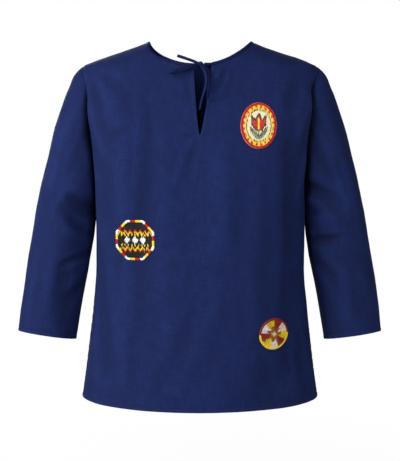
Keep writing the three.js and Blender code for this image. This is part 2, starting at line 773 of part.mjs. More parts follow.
// A patch is cut by its outline from a second skin: the front's own points, moved out past a seam gap.
function patchMesh(patch) {
  const { places, quads } = wholePanel("front");
  const skin = places.map(({ point, normal }) => ({
    point: point.clone().addScaledVector(normal, SEAM_GAP + PATCH_THICK),
    normal,
  }));
  const outline = Array.from({ length: patch.sides }, (_, k) => {
    const angle = (2 * Math.PI * (k + 0.5)) / patch.sides;
    const flat = Math.cos(Math.PI / patch.sides);
    const x = (patch.wide / 2 / flat) * Math.cos(angle);
    return new THREE.Vector2(patch.x + x, patch.z + (patch.high / 2 / flat) * Math.sin(angle));
  });
  const reach = 2 * body.front(HEM);
  const prism = new THREE.ExtrudeGeometry(new THREE.Shape(outline), {
    depth: reach,
    bevelEnabled: false,
  });
  prism.rotateX(Math.PI / 2);
  const cut = toSolid(wallMesh(patch.name, skin, quads, PATCH_THICK, patch.color).geometry)
    .intersect(toSolid(prism))
    .getMesh();
  const geometry = new THREE.BufferGeometry();
  geometry.setAttribute("position", new THREE.BufferAttribute(cut.vertProperties, 3));
  geometry.setIndex(new THREE.BufferAttribute(cut.triVerts, 1));
  geometry.computeVertexNormals();
  const material = new THREE.MeshStandardMaterial({ color: patch.color, roughness: 0.7, metalness: 0 });
  const mesh = new THREE.Mesh(geometry, material);
  mesh.name = patch.name;
  return mesh;
}

// ---------------------------------------------------------------- the smock
const smock = new THREE.Group();
smock.add(panelMesh("front", NAVY));
smock.add(panelMesh("back", NAVY));
smock.add(sleeveMesh("sleeve_left", "left", NAVY));
smock.add(sleeveMesh("sleeve_right", "right", NAVY));
smock.add(bindingMesh("neck_binding", NAVY_DARK));
smock.add(knotMesh("tie_knot", NAVY_DARK));
for (const tie of [...ROOTS, ...TIES]) smock.add(tapeMesh(tie.name, tie.route, tie.wideStart, tie.wideEnd, NAVY_DARK));
for (const patch of PATCHES) smock.add(patchMesh(patch));

export default smock;
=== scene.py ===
"""A farmer's smock of plain navy cotton, filled out as if worn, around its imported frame.

The file is laid out as an add-on: property groups hold the sizes and colours, one operator makes each piece or
group of like pieces, and a panel lists them. Run as a script, it makes everything in order.
Lengths inside the making are millimetres, +Z up and the front towards -Y, and become metres in the meshes.
"""
import math

import bpy
import numpy as np
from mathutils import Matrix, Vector


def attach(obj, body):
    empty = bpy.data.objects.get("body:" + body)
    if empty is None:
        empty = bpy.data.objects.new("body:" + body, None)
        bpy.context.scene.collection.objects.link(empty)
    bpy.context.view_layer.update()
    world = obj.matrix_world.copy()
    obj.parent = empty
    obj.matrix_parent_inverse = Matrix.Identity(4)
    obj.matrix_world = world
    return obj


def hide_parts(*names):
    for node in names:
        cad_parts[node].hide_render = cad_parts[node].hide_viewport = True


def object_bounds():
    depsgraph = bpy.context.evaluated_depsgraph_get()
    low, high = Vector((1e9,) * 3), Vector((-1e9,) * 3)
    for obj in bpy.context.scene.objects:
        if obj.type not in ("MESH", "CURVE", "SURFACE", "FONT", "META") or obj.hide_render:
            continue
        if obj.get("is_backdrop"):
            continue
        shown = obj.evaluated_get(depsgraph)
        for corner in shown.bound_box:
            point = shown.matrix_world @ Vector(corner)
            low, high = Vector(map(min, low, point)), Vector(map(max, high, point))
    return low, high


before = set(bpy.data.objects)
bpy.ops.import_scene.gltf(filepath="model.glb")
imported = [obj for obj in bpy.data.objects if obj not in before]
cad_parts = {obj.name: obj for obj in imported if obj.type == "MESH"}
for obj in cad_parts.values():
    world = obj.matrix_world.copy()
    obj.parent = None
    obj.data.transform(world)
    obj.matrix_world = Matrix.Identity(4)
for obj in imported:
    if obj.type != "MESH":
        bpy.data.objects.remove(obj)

bl_info = {
    "name": "Farmer's Smock",
    "version": (1, 0, 0),
    "blender": (4, 5, 0),
    "location": "3D View > Sidebar > Smock",
    "description": "Makes a hollow navy smock with a tied neck slit and three embroidered patches",
    "category": "Add Mesh",
}

MM = 0.001

# ---------------------------------------------------------------- the garment's sizes
NECK = {"half": 99.0, "front_drop": 45.0, "back_drop": 40.0}
# How the neck edge falls from each shoulder: a low number is square, a high one slants down slowly.
NECK_CURVE = {("front", "left"): 0.75, ("front", "right"): 1.9, ("back", "left"): 1.2, ("back", "right"): 1.2}
HEM = -707.0
CUFF = -579.0
SLIT = {"end": -179.0, "left": (12.5, 0.6), "right": (22.5, 0.76)}  # how far out at the top, and its curve
SLEEVE_ROUND = 62.0  # round the sleeve for a turn of one radian
KNOT = {"centre": (0.5, -89.0, -45.5), "radii": (6.8, 4.6, 4.6)}

# Level sections of the body: height, half width, depth in front and behind the side line, squareness (2 is round).
BODY = (
    (8, 80, 57, 57, 2.1),
    (0, 99, 60, 60, 2.1),
    (-8, 120, 64, 63, 2.1),
    (-24, 167, 72, 69, 2.2),
    (-40, 213, 80, 76, 2.3),
    (-48, 228, 83.5, 80, 2.4),
    (-60, 231.5, 88, 86, 2.5),
    (-90, 234, 98, 98, 2.65),
    (-120, 235, 107, 106, 3),
    (-156, 232, 116, 113, 3.2),
    (-216, 222, 124, 118, 3.2),
    (-276, 212, 127, 116, 3),
    (-335, 207, 128, 113, 2.7),
    (-436, 206.5, 129, 114, 2.5),
    (-520, 214, 131, 118, 2.3),
    (-592, 223, 133, 123, 2.1),
    (-640, 229, 135, 127, 2),
    (HEM, 238.3, 138, 133, 2),
)

# Sections across the sleeve: height of the middle, reach of the outer edge, half width, half depth, how much the
# outer edge is raised and the front edge is raised (degrees), and how far the middle comes forward.
SLEEVE = (
    (-40, 211, 14, 10, 0, 0, 0),
    (-48, 230, 21, 17, 0, 0, 0),
    (-60, 243, 33, 28, 0.5, 0, 0),
    (-72, 251, 40, 39, 1, 0, 0),
    (-88, 257.5, 46, 47, 1.5, 0, 0),
    (-104, 264.5, 52, 53, 2, 0, 0),
    (-128, 272.5, 58, 58, 3, 0, 0),
    (-152, 280, 62, 62, 3.5, 0, 0),
    (-184, 290, 64, 67, 4.5, 0, 0),
    (-232, 302, 63, 71, 5.5, 0, 0),
    (-280, 314, 62, 71, 6.5, 0, 0),
    (-335, 325.5, 60, 70, 8, 0, 0),
    (-376, 332.5, 61, 67, 8.9, 1.5, 0.5),
    (-424, 341, 60.6, 63, 8.9, 3.5, 2.5),
    (-520, 356, 59.2, 55, 8.9, 7, 11),
    (CUFF, 362.5, 57.8, 50, 8.6, 8.5, 20),
)

# The large soft folds of the solids: start, end, width, height (below zero is a trough). On the body a place is
# the distance round from the middle and the height; on a sleeve it is the turn in degrees and the section level.
BODY_FOLDS = {
    "front": (
        (-182, -92, -152, -170, 22, 5),
        (-150, -150, -152, -350, 20, 5),
        (-104, -190, -112, -560, 26, -4),
        (40, -170, 36, -430, 28, 4),
        (168, -140, 186, -430, 24, -8),
        (178, -380, 176, -670, 28, -6),
        (-214, -380, -196, -660, 26, -5),
        (108, -420, 96, -680, 28, 2),
        (-60, -430, -48, -680, 28, 2),
    ),
    "back": (
        (176, -110, 148, -330, 24, -6),
        (-180, -120, -156, -390, 26, -7),
        (52, -200, 70, -660, 30, 5),
        (-70, -250, -58, -680, 28, 5),
        (196, -400, 178, -670, 26, -6),
        (-10, -330, -2, -640, 24, -5),
    ),
}
SLEEVE_FOLDS = {
    "left": (
        (80, -305, 150, -352, 20, -9),
        (40, -130, 52, -300, 20, 4),
        (112, -390, 104, -560, 18, -4),
        (-70, -330, -140, -350, 20, -7),
        (-48, -200, -60, -540, 22, 4),
    ),
    "right": (
        (125, -262, 82, -330, 18, -6),
        (145, -372, 88, -388, 16, -5),
        (90, -120, 88, -400, 15, -3.5),
        (56, -130, 54, -420, 16, 3),
        (-64, -300, -140, -340, 20, -7),
        (-52, -180, -44, -540, 22, 4),
    ),
}

# The fold along each armhole, where the sleeve tucks behind the edge of the body: height, how far the seam lies
# inwards, how deep, how wide the fold is on the sleeve and how much painted shade darkens the cloth round it.
ARMHOLE_FOLDS = {
    "left": ((-335, 0, 3, 7, 1.7), (-310, 4, 12, 7, 1.7), (-280, 8, 21, 6, 1.2), (-230, 13.5, 26, 6, 0.4),
             (-185, 12.5, 26, 7, 0), (-154, 14, 20, 6.5, 0), (-126, 9.5, 11, 5, 0), (-100, 3, 5, 4, 0),
             (-80, 0, 0, 4, 0)),
    "right": ((-335, 0, 0, 6, 0.9), (-310, 3.5, 9, 6, 1), (-280, 6.5, 20, 6, 1.4), (-240, 9.5, 23, 5, 1.8),
              (-211, 15.5, 24, 5, 1.4), (-185, 20, 24, 5.5, 0.9), (-154, 20.5, 21, 6, 0.6), (-126, 16, 16, 5.5, 0.4),
              (-100, 8, 11, 5, 0.2), (-68, 0, 0, 4, 0)),
}

# The creases that the cloth adds to its folds: start, a point that bends it, end, width at the
# start and at the end, and depth (above zero a trough with raised lips, below zero a ridge).
CREASES = {
    "front": (
        # the drag from the left armhole, and the soft hollow beside the sleeve
        (-216, -84, -204, -106, -180, -138, 10, 15, 2.4),
        (-230, -150, -214, -190, -196, -258, 8, 14, 1.6),
        (-190, -66, -172, -84, -146, -96, 9, 14, 0.9),
        # the left half: one long lit ridge, then a slow hollow beside it
        (-126, -110, -118, -220, -117, -352, 16, 20, -1.8),
        (-104, -170, -96, -270, -100, -380, 14, 20, 1.3),
        (-163, -376, -173, -470, -168, -566, 14, 18, 0.9),
        (26, -484, 6, -570, -40, -668, 15, 20, -1.3),
        (-22, -536, -52, -600, -88, -684, 14, 18, 0.8),
        (-128, -560, -138, -620, -134, -696, 12, 17, 1.1),
        # what the tied slit pulls
        (50, -50, 44, -68, 30, -92, 4, 8, 1.9),
        (64, -64, 56, -88, 44, -124, 5, 9, 0.9),
        (-28, -64, -26, -88, -18, -120, 5, 8, 0.8),
        (-4, -182, -18, -220, -36, -290, 4, 11, 1.0),
        (-6, -180, -16, -181, -30, -178, 3, 5, 1.1),
        # the right half: drag from the shoulder, then the broad trough to the hem
        (186, -70, 174, -108, 154, -170, 11, 16, 1.7),
        (236, -124, 216, -160, 204, -232, 9, 15, 2.2),
        (196, -126, 204, -320, 196, -600, 22, 28, 2.8),
        (116, -410, 128, -492, 134, -574, 14, 18, 0.9),
        (76, -236, 82, -330, 70, -430, 14, 19, 1.1),
        (206, -560, 212, -620, 226, -698, 10, 17, 2.0),
        (238, -212, 228, -254, 222, -324, 8, 13, 2.0),
    ),
    "back": (
        (-228, -118, -198, -136, -156, -190, 9, 16, 2.2),
        (226, -112, 200, -132, 166, -178, 9, 16, 2.3),
        (-236, -176, -212, -206, -184, -280, 8, 14, 1.9),
        (238, -170, 210, -200, 176, -268, 8, 15, 1.8),
        (-110, -66, -96, -92, -60, -118, 9, 14, 0.9),
        (124, -62, 104, -88, 74, -108, 9, 14, 1.0),
        (-62, -108, 4, -122, 70, -104, 12, 12, 0.9),
        (-104, -236, -98, -340, -120, -470, 14, 20, 1.6),
        (112, -214, 118, -330, 104, -450, 14, 20, 1.4),
        (28, -250, 36, -370, 22, -500, 14, 20, 1.2),
        (-176, -430, -160, -540, -168, -690, 13, 20, 2.2),
        (150, -440, 142, -560, 158, -696, 13, 20, 2.0),
        (-92, -520, -106, -610, -96, -700, 12, 18, 1.3),
        (92, -540, 104, -620, 96, -700, 12, 18, 1.2),
        (238, -224, 226, -262, 218, -340, 8, 13, 2.0),
        (-238, -230, -224, -270, -214, -350, 8, 13, 2.1),
    ),
    "left": (
        # the dent inside the elbow, and the drags above and below it
        (176, -330, 140, -322, 84, -286, 17, 8, 5.4),
        (168, -366, 138, -366, 104, -344, 13, 8, 3.2),
        (176, -400, 132, -414, 98, -438, 9, 6, 3.4),
        (172, -450, 148, -470, 124, -510, 9, 11, 2.4),
        (34, -118, 46, -190, 40, -280, 11, 15, 1.3),
        (84, -160, 90, -206, 98, -250, 8, 12, 1.8),
        (62, -400, 72, -476, 66, -560, 11, 15, 1.2),
        (122, -450, 128, -506, 122, -566, 10, 14, 1.4),
        # the hidden side
        (-165, -300, -128, -312, -80, -288, 12, 8, 3.0),
        (-160, -352, -124, -372, -92, -356, 11, 8, 2.6),
        (-150, -402, -120, -430, -100, -470, 9, 13, 1.8),
        (-34, -112, -46, -180, -40, -270, 11, 15, 1.2),
        (-62, -410, -76, -480, -68, -565, 11, 15, 1.4),
        (-126, -440, -132, -500, -122, -570, 10, 14, 1.5),
        (-14, -300, -26, -380, -18, -470, 12, 16, 0.9),
    ),
    "right": (
        (162, -252, 128, -276, 96, -312, 9, 13, 2.6),
        (160, -318, 130, -330, 92, -322, 10, 8, 1.8),
        (164, -380, 124, -388, 84, -376, 9, 6, 3.0),
        (156, -410, 128, -436, 108, -480, 9, 13, 1.8),
        (40, -112, 50, -176, 48, -250, 11, 15, 1.2),
        (88, -150, 92, -196, 98, -240, 8, 12, 1.8),
        (72, -420, 84, -486, 78, -566, 11, 15, 1.2),
        (-162, -284, -122, -302, -78, -286, 12, 8, 2.8),
        (-160, -340, -124, -360, -84, -348, 11, 8, 2.6),
        (-150, -392, -120, -420, -100, -466, 9, 13, 1.8),
        (-30, -118, -44, -186, -38, -270, 11, 15, 1.2),
        (-66, -420, -78, -490, -72, -566, 11, 15, 1.4),
        (-124, -450, -130, -510, -120, -572, 10, 14, 1.5),
    ),
}

# The tie: each stretch as points along it, with the directions that its width runs in at its two ends.
ROOTS = (
    ("tie_root_left", (0, -0.5, 0.87), (0, -0.3, 0.95),
     ((-11.9, -84.6, -46.6), (-9.6, -86, -46.4), (-6.9, -87.6, -46.2))),
    ("tie_root_right", (0, -0.5, 0.87), (0, -0.3, 0.95),
     ((21.6, -84.4, -45.2), (17, -86.2, -45.4), (12.4, -87.8, -45.6), (7.9, -88.6, -45.6))),
)
TIES = (
    ("tie_end_upper", "bare", (0.3, -0.3, 0.9), (0.33, 0.1, 0.94),
     ((-3.2, -90.9, -44.6), (-7.6, -90.7, -42.6), (-14, -90.9, -39.8), (-22, -90.5, -37), (-32, -89, -33.5),
      (-43, -88, -30))),
    ("tie_loop_left", "object", (0.2, -0.86, -0.47), (0.2, -0.86, -0.47),
     ((-6.6, -93, -46.5), (-18, -98, -48), (-32, -103, -52.5), (-44, -106, -56.5), (-53, -104, -60.5),
      (-55.5, -98, -63), (-50, -93.8, -62.5), (-40, -92.6, -59.5), (-27, -91, -55.5), (-15, -90.4, -53),
      (-4.6, -90.4, -51.8))),
    ("tie_loop_right", "object", (0.35, 0.9, 0.2), (0.35, 0.9, 0.2),
     ((6.4, -92.8, -49), (11.8, -95.2, -52.6), (15.6, -99.4, -60), (16.8, -106, -74), (16.1, -114.5, -88),
      (15.3, -119.2, -101), (15, -117.2, -105.8), (14.8, -112.4, -107.8), (14.5, -107.6, -105.8),
      (14.2, -105.6, -101), (14.2, -102.2, -89), (14.2, -97.2, -76), (12.8, -92.6, -63.5), (9, -89, -54))),
    ("tie_end_hanging", "bare", (1, 0, 0), (0.4, -0.9, 0),
     ((1.4, -94.6, -48.4), (6.2, -101, -55), (10.2, -105, -65), (11.4, -107.6, -77), (9.8, -110, -90),
      (6.2, -112.8, -102), (2.2, -116, -116), (-0.6, -118.6, -131))),
)

# The patches: middle, size and number of sides of the outline.
PATCHES = {
    "patch_oval": {"x": 110.0, "z": -161.0, "wide": 68.0, "high": 86.0, "sides": 0},
    "patch_octagon": {"x": -123.5, "z": -377.0, "wide": 74.0, "high": 77.0, "sides": 8},
    "patch_round": {"x": 143.0, "z": -560.0, "wide": 61.0, "high": 61.0, "sides": 0},
}


# ---------------------------------------------------------------- forms
def smooth_column(rows, column):
    """A smooth reading of one column of a table by its first: it never swings past the rows that it joins."""
    table = np.array(rows, float)
    table = table[np.argsort(table[:, 0])]
    at, value = table[:, 0], table[:, column]
    rise = np.diff(value) / np.diff(at)
    slope = np.concatenate([rise[:1], np.zeros(len(at) - 2), rise[-1:]])
    before, after = rise[:-1], rise[1:]
    same = before * after > 0
    slope[1:-1][same] = (2 * before * after)[same] / (before + after)[same]

    def read(place):
        place = np.clip(np.asarray(place, float), at[0], at[-1])
        i = np.clip(np.searchsorted(at, place, side="right") - 1, 0, len(at) - 2)
        span = at[i + 1] - at[i]
        t = (place - at[i]) / span
        start = value[i] * (1 + 2 * t) * (1 - t) ** 2 + span * slope[i] * t * (1 - t) ** 2
        return start + value[i + 1] * t * t * (3 - 2 * t) - span * slope[i + 1] * t * t * (1 - t)

    return read


BODY_FORM = {name: smooth_column(BODY, i + 1) for i, name in enumerate(("half", "front", "back", "square"))}
SLEEVE_FORM = {
    name: smooth_column(SLEEVE, i + 1)
    for i, name in enumerate(("outer", "half", "depth", "tilt", "lean", "forward"))
}
RING_TURNS = np.linspace(0, math.pi / 2, 97)


def unit(v):
    return v / np.maximum(np.linalg.norm(v, axis=-1, keepdims=True), 1e-12)


def full_turn(count):
    return np.linspace(0, 2 * math.pi, count, endpoint=False)


def paired(first, second):
    """Two arrays that fit together, as one list of pairs."""
    return np.stack(np.broadcast_arrays(first, second), -1).reshape(-1, 2)


def ring_point(face, z, turn):
    """A quarter section's point at a turn from the middle towards the side, as x and depth."""
    half, deep, power = BODY_FORM["half"](z), BODY_FORM[face](z), BODY_FORM["square"](z)
    sine, cosine = np.maximum(np.sin(turn), 1e-9), np.maximum(np.cos(turn), 1e-9)
    reach = ((sine / half) ** power + (cosine / deep) ** power) ** (-1 / power)
    return reach * np.sin(turn), reach * np.cos(turn)


def ring(face, z):
    """Quarter sections at the heights z: x, depth and the distance round, each one row for one height."""
    x, y = ring_point(face, np.asarray(z, float)[:, None], RING_TURNS[None, :])
    steps = np.hypot(np.diff(x, axis=1), np.diff(y, axis=1))
    return x, y, np.concatenate([np.zeros((len(x), 1)), np.cumsum(steps, axis=1)], axis=1)


def girth(face, z):
    return ring(face, np.atleast_1d(z))[2][:, -1]


def around_at(face, x, z):
    """The distance round from the middle of the points of the sections that lie x out sideways."""
    x, z = np.broadcast_arrays(np.asarray(x, float), np.asarray(z, float))
    xs, _, around = ring(face, z.ravel())
    i = np.clip((xs < np.abs(x.ravel())[:, None]).sum(1) - 1, 0, len(RING_TURNS) - 2)
    k = np.arange(len(i))
    t = np.clip((np.abs(x.ravel()) - xs[k, i]) / (xs[k, i + 1] - xs[k, i]), 0, 1)
    return (around[k, i] + (around[k, i + 1] - around[k, i]) * t).reshape(x.shape)


def outside(p):
    """How far outside the body's form points lie: above zero outside, zero on it."""
    x, y, z = p[..., 0], p[..., 1], p[..., 2]
    deep = np.where(y < 0, BODY_FORM["front"](z), BODY_FORM["back"](z))
    power = BODY_FORM["square"](z)
    return (np.abs(x) / BODY_FORM["half"](z)) ** power + (np.abs(y) / deep) ** power - 1


def body_point(face, across, z):
    """Points of the smooth body and the directions they look in, from distances round and heights."""
    shape = np.shape(across)
    across, z = np.ravel(across).astype(float), np.ravel(z).astype(float)
    around = ring(face, z)[2]
    s = np.minimum(np.abs(across), around[:, -1])
    i = np.clip((around < s[:, None]).sum(1) - 1, 0, len(RING_TURNS) - 2)
    k = np.arange(len(i))
    t = np.clip((s - around[k, i]) / (around[k, i + 1] - around[k, i]), 0, 1)
    x, y = ring_point(face, z, RING_TURNS[i] + t * (RING_TURNS[1] - RING_TURNS[0]))
    p = np.stack([x * np.sign(across), y * (-1 if face == "front" else 1), z], 1)
    e = 0.5
    steps = [outside(p + e * axis) - outside(p - e * axis) for axis in np.eye(3)]
    return p.reshape(*shape, 3), unit(np.stack(steps, 1)).reshape(*shape, 3)


def sleeve_form(turn, level):
    """Points of the smooth sleeve on the side of +X. The turn goes from the outer edge through the front."""
    f = {name: read(level) for name, read in SLEEVE_FORM.items()}
    tilt, lean = np.radians(f["tilt"]), np.radians(f["lean"])
    zero = np.zeros_like(turn * 1.0)
    middle = np.stack([f["outer"] - f["half"] * np.cos(tilt) + zero, zero - f["forward"], level + zero], -1)
    sideways = np.stack([np.cos(tilt) + zero, zero, np.sin(tilt) + zero], -1)
    forwards = np.stack([zero, -np.cos(lean) + zero, np.sin(lean) + zero], -1)
    wide = (f["half"] * np.cos(turn))[..., None]
    deep = (f["depth"] * np.sin(turn))[..., None]
    return middle + sideways * wide + forwards * deep


def sleeve_point(turn, level):
    e = 0.01
    round_way = sleeve_form(turn + e, level) - sleeve_form(turn - e, level)
    up = sleeve_form(turn, level + 1) - sleeve_form(turn, level - 1)
    return sleeve_form(turn, level), unit(np.cross(up, round_way))


def crossing(low, high, value):
    """Where a rising or falling function crosses zero, for arrays of ranges at once."""
    low, high = np.asarray(low, float) + 0.0, np.asarray(high, float) + 0.0
    rising = value(high) > 0
    for _ in range(50):
        middle = (low + high) / 2
        upper = (value(middle) > 0) == rising
        high, low = np.where(upper, middle, high), np.where(upper, low, middle)
    return (low + high) / 2


CAP_TOP = float(crossing(-60.0, -40.0, lambda level: outside(sleeve_form(np.float64(0), level))))
UNDERARM = float(crossing(-376.0, -280.0, lambda level: outside(sleeve_form(np.float64(math.pi), level))))
UNDERARM_Z = float(sleeve_form(np.float64(math.pi), np.float64(UNDERARM))[2])
SHOULDER_Z = float(sleeve_form(np.float64(0), np.float64(CAP_TOP))[2])


def run_length(line):
    """The distance along a line of places to each of them."""
    return np.concatenate([[0], np.cumsum(np.linalg.norm(np.diff(line, axis=0), axis=1))])


def along_line(line, shares):
    """Points of a line of places at shares of its length."""
    line = np.asarray(line, float)
    reach = run_length(line)
    return np.stack([np.interp(np.asarray(shares) * reach[-1], reach, column) for column in line.T], -1)


def nearest(spots, line):
    """How far places lie from a line of places, and how far along its steps, from 0 to 1, they are nearest to it."""
    best, part = np.full(len(spots), np.inf), np.zeros(len(spots))
    for k, (start, run) in enumerate(zip(line, np.diff(line, axis=0))):
        t = np.clip(((spots - start) @ run) / max(run @ run, 1e-9), 0, 1)
        far = np.linalg.norm(spots - start - t[:, None] * run, axis=1)
        nearer = far < best
        best, part = np.where(nearer, far, best), np.where(nearer, (k + t) / (len(line) - 1), part)
    return best, part


def armhole(face, samples=240):
    """The armhole from the top of the sleeve to the underarm: turn and level, evenly spaced along it."""
    sign = 1 if face == "front" else -1
    share = (1 - np.cos(np.linspace(0, math.pi, samples))) / 2
    level = CAP_TOP + (UNDERARM - CAP_TOP) * share
    turn = np.concatenate([[0], crossing(np.zeros(samples - 2), np.full(samples - 2, math.pi),
                                         lambda t: outside(sleeve_form(sign * t, level[1:-1]))), [math.pi]])
    points = sleeve_form(sign * turn, level)
    reach = run_length(points)
    even = np.linspace(0, reach[-1], samples)
    return np.stack([sign * np.interp(even, reach, turn), np.interp(even, reach, level)], -1)


def neck_place(face, side, share, start_x):
    """The neck edge from the middle, or the slit, to the shoulder: distance round and height."""
    start = math.asin(start_x / NECK["half"])
    turn = start + (math.pi / 2 - start) * np.asarray(share, float)
    z = -NECK[f"{face}_drop"] * np.maximum(np.cos(turn), 0) ** NECK_CURVE[face, side]
    return np.stack([around_at(face, NECK["half"] * np.sin(turn), z), z], -1)


def slit_edge(side, z):
    far, curve = SLIT[side]
    return far * np.clip((z - SLIT["end"]) / (-NECK["front_drop"] - SLIT["end"]), 0, 1) ** curve


def slit_line(side, z):
    """The slit's edge on the side of +X: distance round and height."""
    return np.stack([around_at("front", slit_edge(side, z), z), z], -1)


def patchwork(bottom, top, left, right, us, vs):
    """A grid of places between four edge lines, as a cutter grades a pattern piece, at shares us across and vs up."""
    u, v = us[None, :, None], vs[:, None, None]
    b, t = along_index(bottom, us)[None], along_index(top, us)[None]
    l, r = along_index(left, vs)[:, None], along_index(right, vs)[:, None]
    corners = (1 - v) * ((1 - u) * bottom[0] + u * bottom[-1]) + v * ((1 - u) * top[0] + u * top[-1])
    return (1 - v) * b + v * t + (1 - u) * l + u * r - corners


def along_index(line, shares):
    at = np.linspace(0, 1, len(line))
    return np.stack([np.interp(shares, at, line[:, c]) for c in range(line.shape[1])], -1)


# ---------------------------------------------------------------- folds, creases and sewn lines
def fold_height(folds, places):
    """The height of the solids' own folds. Folds hold start, end, width and height in millimetres."""
    height = np.zeros(places.shape[:-1])
    for x0, y0, x1, y1, width, rise in folds:
        run = np.array([x1 - x0, y1 - y0], float)
        length = np.hypot(*run)
        off = places - (x0, y0)
        along = (off @ run) / length
        aside = (off[..., 0] * run[1] - off[..., 1] * run[0]) / length
        fade = np.sin(math.pi * np.clip(along / length, 0, 1)) ** 0.8
        height += rise * fade * np.exp(-((aside / width) ** 2))
    return height


def crease_height(creases, places):
    """Soft troughs with raised lips, or ridges, along bent lines that widen as they go."""
    height = np.zeros(places.shape[:-1])
    steps = np.linspace(0, 1, 15)
    for x0, y0, xm, ym, x1, y1, wide0, wide1, depth in creases:
        bend = np.array([[x0, y0], [xm, ym], [x1, y1]], float)
        line = ((1 - steps) ** 2)[:, None] * bend[0] + (2 * steps * (1 - steps))[:, None] * bend[1]
        line = line + (steps ** 2)[:, None] * bend[2]
        near, share = np.full(height.shape, np.inf), np.zeros(height.shape)
        reach = 4 * max(wide0, wide1)
        low, high = line.min(0) - reach, line.max(0) + reach
        close = np.all((places > low) & (places < high), -1)
        near[close], share[close] = nearest(places[close], line)
        width = wide0 + (wide1 - wide0) * share
        fade = np.sin(math.pi * np.clip(share, 0.02, 0.98)) ** 0.7
        ends = np.where((share <= 0) | (share >= 1), 0.5, 1.0)
        ratio = near / width
        shape = np.exp(-(ratio ** 2)) - 0.42 * np.exp(-(((ratio - 1.9) / 0.85) ** 2))
        height += np.where(close, -depth * fade * ends * shape, 0)
    return height


def unevenness(places, seed, longest, shortest, height, count=14):
    """A smooth random unevenness: a sum of seeded waves, longer up the cloth than across it."""
    rng = np.random.default_rng(seed)
    total = np.zeros(places.shape[:-1])
    for _ in range(count):
        angle, phase = rng.uniform(0, math.pi), rng.uniform(0, 2 * math.pi)
        length = math.exp(rng.uniform(math.log(shortest), math.log(longest)))
        along = places[..., 0] * math.cos(angle) + places[..., 1] * math.sin(angle) * 0.55
        total += np.sin(2 * math.pi * along / length + phase)
    return total * height / math.sqrt(count / 2)


def dip(distance, width):
    return np.exp(-((distance / width) ** 2))


# ---------------------------------------------------------------- meshes and nodes
def linear(code):
    """A colour written as sRGB hex, as the linear values that Blender holds."""
    parts = [int(code[i:i + 2], 16) / 255 for i in (1, 3, 5)]
    return tuple(c / 12.92 if c <= 0.04045 else ((c + 0.055) / 1.055) ** 2.4 for c in parts)


def make_mesh(name, points, faces, uv=None, attributes=(), material=None, edges=()):
    """An object from points in millimetres and faces, with an optional UV place for each point and attributes."""
    mesh = bpy.data.meshes.new(name)
    mesh.from_pydata((np.asarray(points) * MM).tolist(), list(edges), [list(map(int, f)) for f in faces])
    mesh.validate()
    if uv is not None:
        layer = mesh.uv_layers.new(name="cloth")
        corner = np.zeros(len(mesh.loops), int)
        mesh.loops.foreach_get("vertex_index", corner)
        layer.data.foreach_set("uv", (np.asarray(uv)[corner] * MM).astype(np.float32).ravel())
    for label, kind, values in attributes:
        field = {"FLOAT": "value", "FLOAT_VECTOR": "vector", "FLOAT_COLOR": "color"}[kind]
        layer = mesh.attributes.new(label, kind, "POINT")
        layer.data.foreach_set(field, np.asarray(values, np.float32).ravel())
    mesh.shade_smooth()
    if material is not None:
        mesh.materials.append(material)
    piece = bpy.data.objects.new(name, mesh)
    bpy.context.scene.collection.objects.link(piece)
    return piece


def rim(quads):
    """The directed edges round the open borders of a set of quads."""
    edges = np.concatenate([np.stack([quads[:, k], quads[:, (k + 1) % 4]], 1) for k in range(4)])
    keys = np.sort(edges, axis=1)
    _, where, count = np.unique(keys, axis=0, return_inverse=True, return_counts=True)
    return edges[count[where.ravel()] == 1]


def wall(name, outer, inner, quads, uv, rub, material):
    """A closed wall of cloth between an outer and an inner skin that share their cells."""
    quads = np.asarray(quads)
    count = len(outer)
    border = rim(quads)
    sides = np.stack([border[:, 1], border[:, 0], border[:, 0] + count, border[:, 1] + count], 1)
    faces = np.concatenate([quads, quads[:, ::-1] + count, sides])
    piece = make_mesh(name, np.concatenate([outer, inner]), faces, np.tile(uv, (2, 1)),
                      (("rub", "FLOAT", np.tile(rub, 2)),), material)
    point_out(piece)
    return piece


def grid_quads(index, flip=False):
    """The cells of a grid of point numbers."""
    quads = np.stack([index[:-1, :-1], index[:-1, 1:], index[1:, 1:], index[1:, :-1]], -1).reshape(-1, 4)
    return quads[:, ::-1] if flip else quads


def centripetal(route, spacing):
    """A smooth line through route points, as the solids' own tapes follow it, at even spacing."""
    p = np.array(route, float)
    p = np.vstack([2 * p[0] - p[1], p, 2 * p[-1] - p[-2]])
    out = []
    for k in range(1, len(p) - 2):
        a, b, c, d = p[k - 1:k + 3]
        dt = [max(np.linalg.norm(v - u) ** 0.5, 1e-4) for u, v in ((a, b), (b, c), (c, d))]
        m1 = ((b - a) / dt[0] - (c - a) / (dt[0] + dt[1]) + (c - b) / dt[1]) * dt[1]
        m2 = ((c - b) / dt[1] - (d - b) / (dt[1] + dt[2]) + (d - c) / dt[2]) * dt[1]
        t = np.linspace(0, 1, 40, endpoint=False)[:, None]
        out.append(b + m1 * t + (3 * (c - b) - 2 * m1 - m2) * t ** 2 + (2 * (b - c) + m1 + m2) * t ** 3)
    line = np.vstack([*out, p[-2]])
    length = np.linalg.norm(np.diff(line, axis=0), axis=1).sum()
    count = max(3, round(length / spacing) + 1)
    return along_line(line, np.linspace(0, 1, count)), length


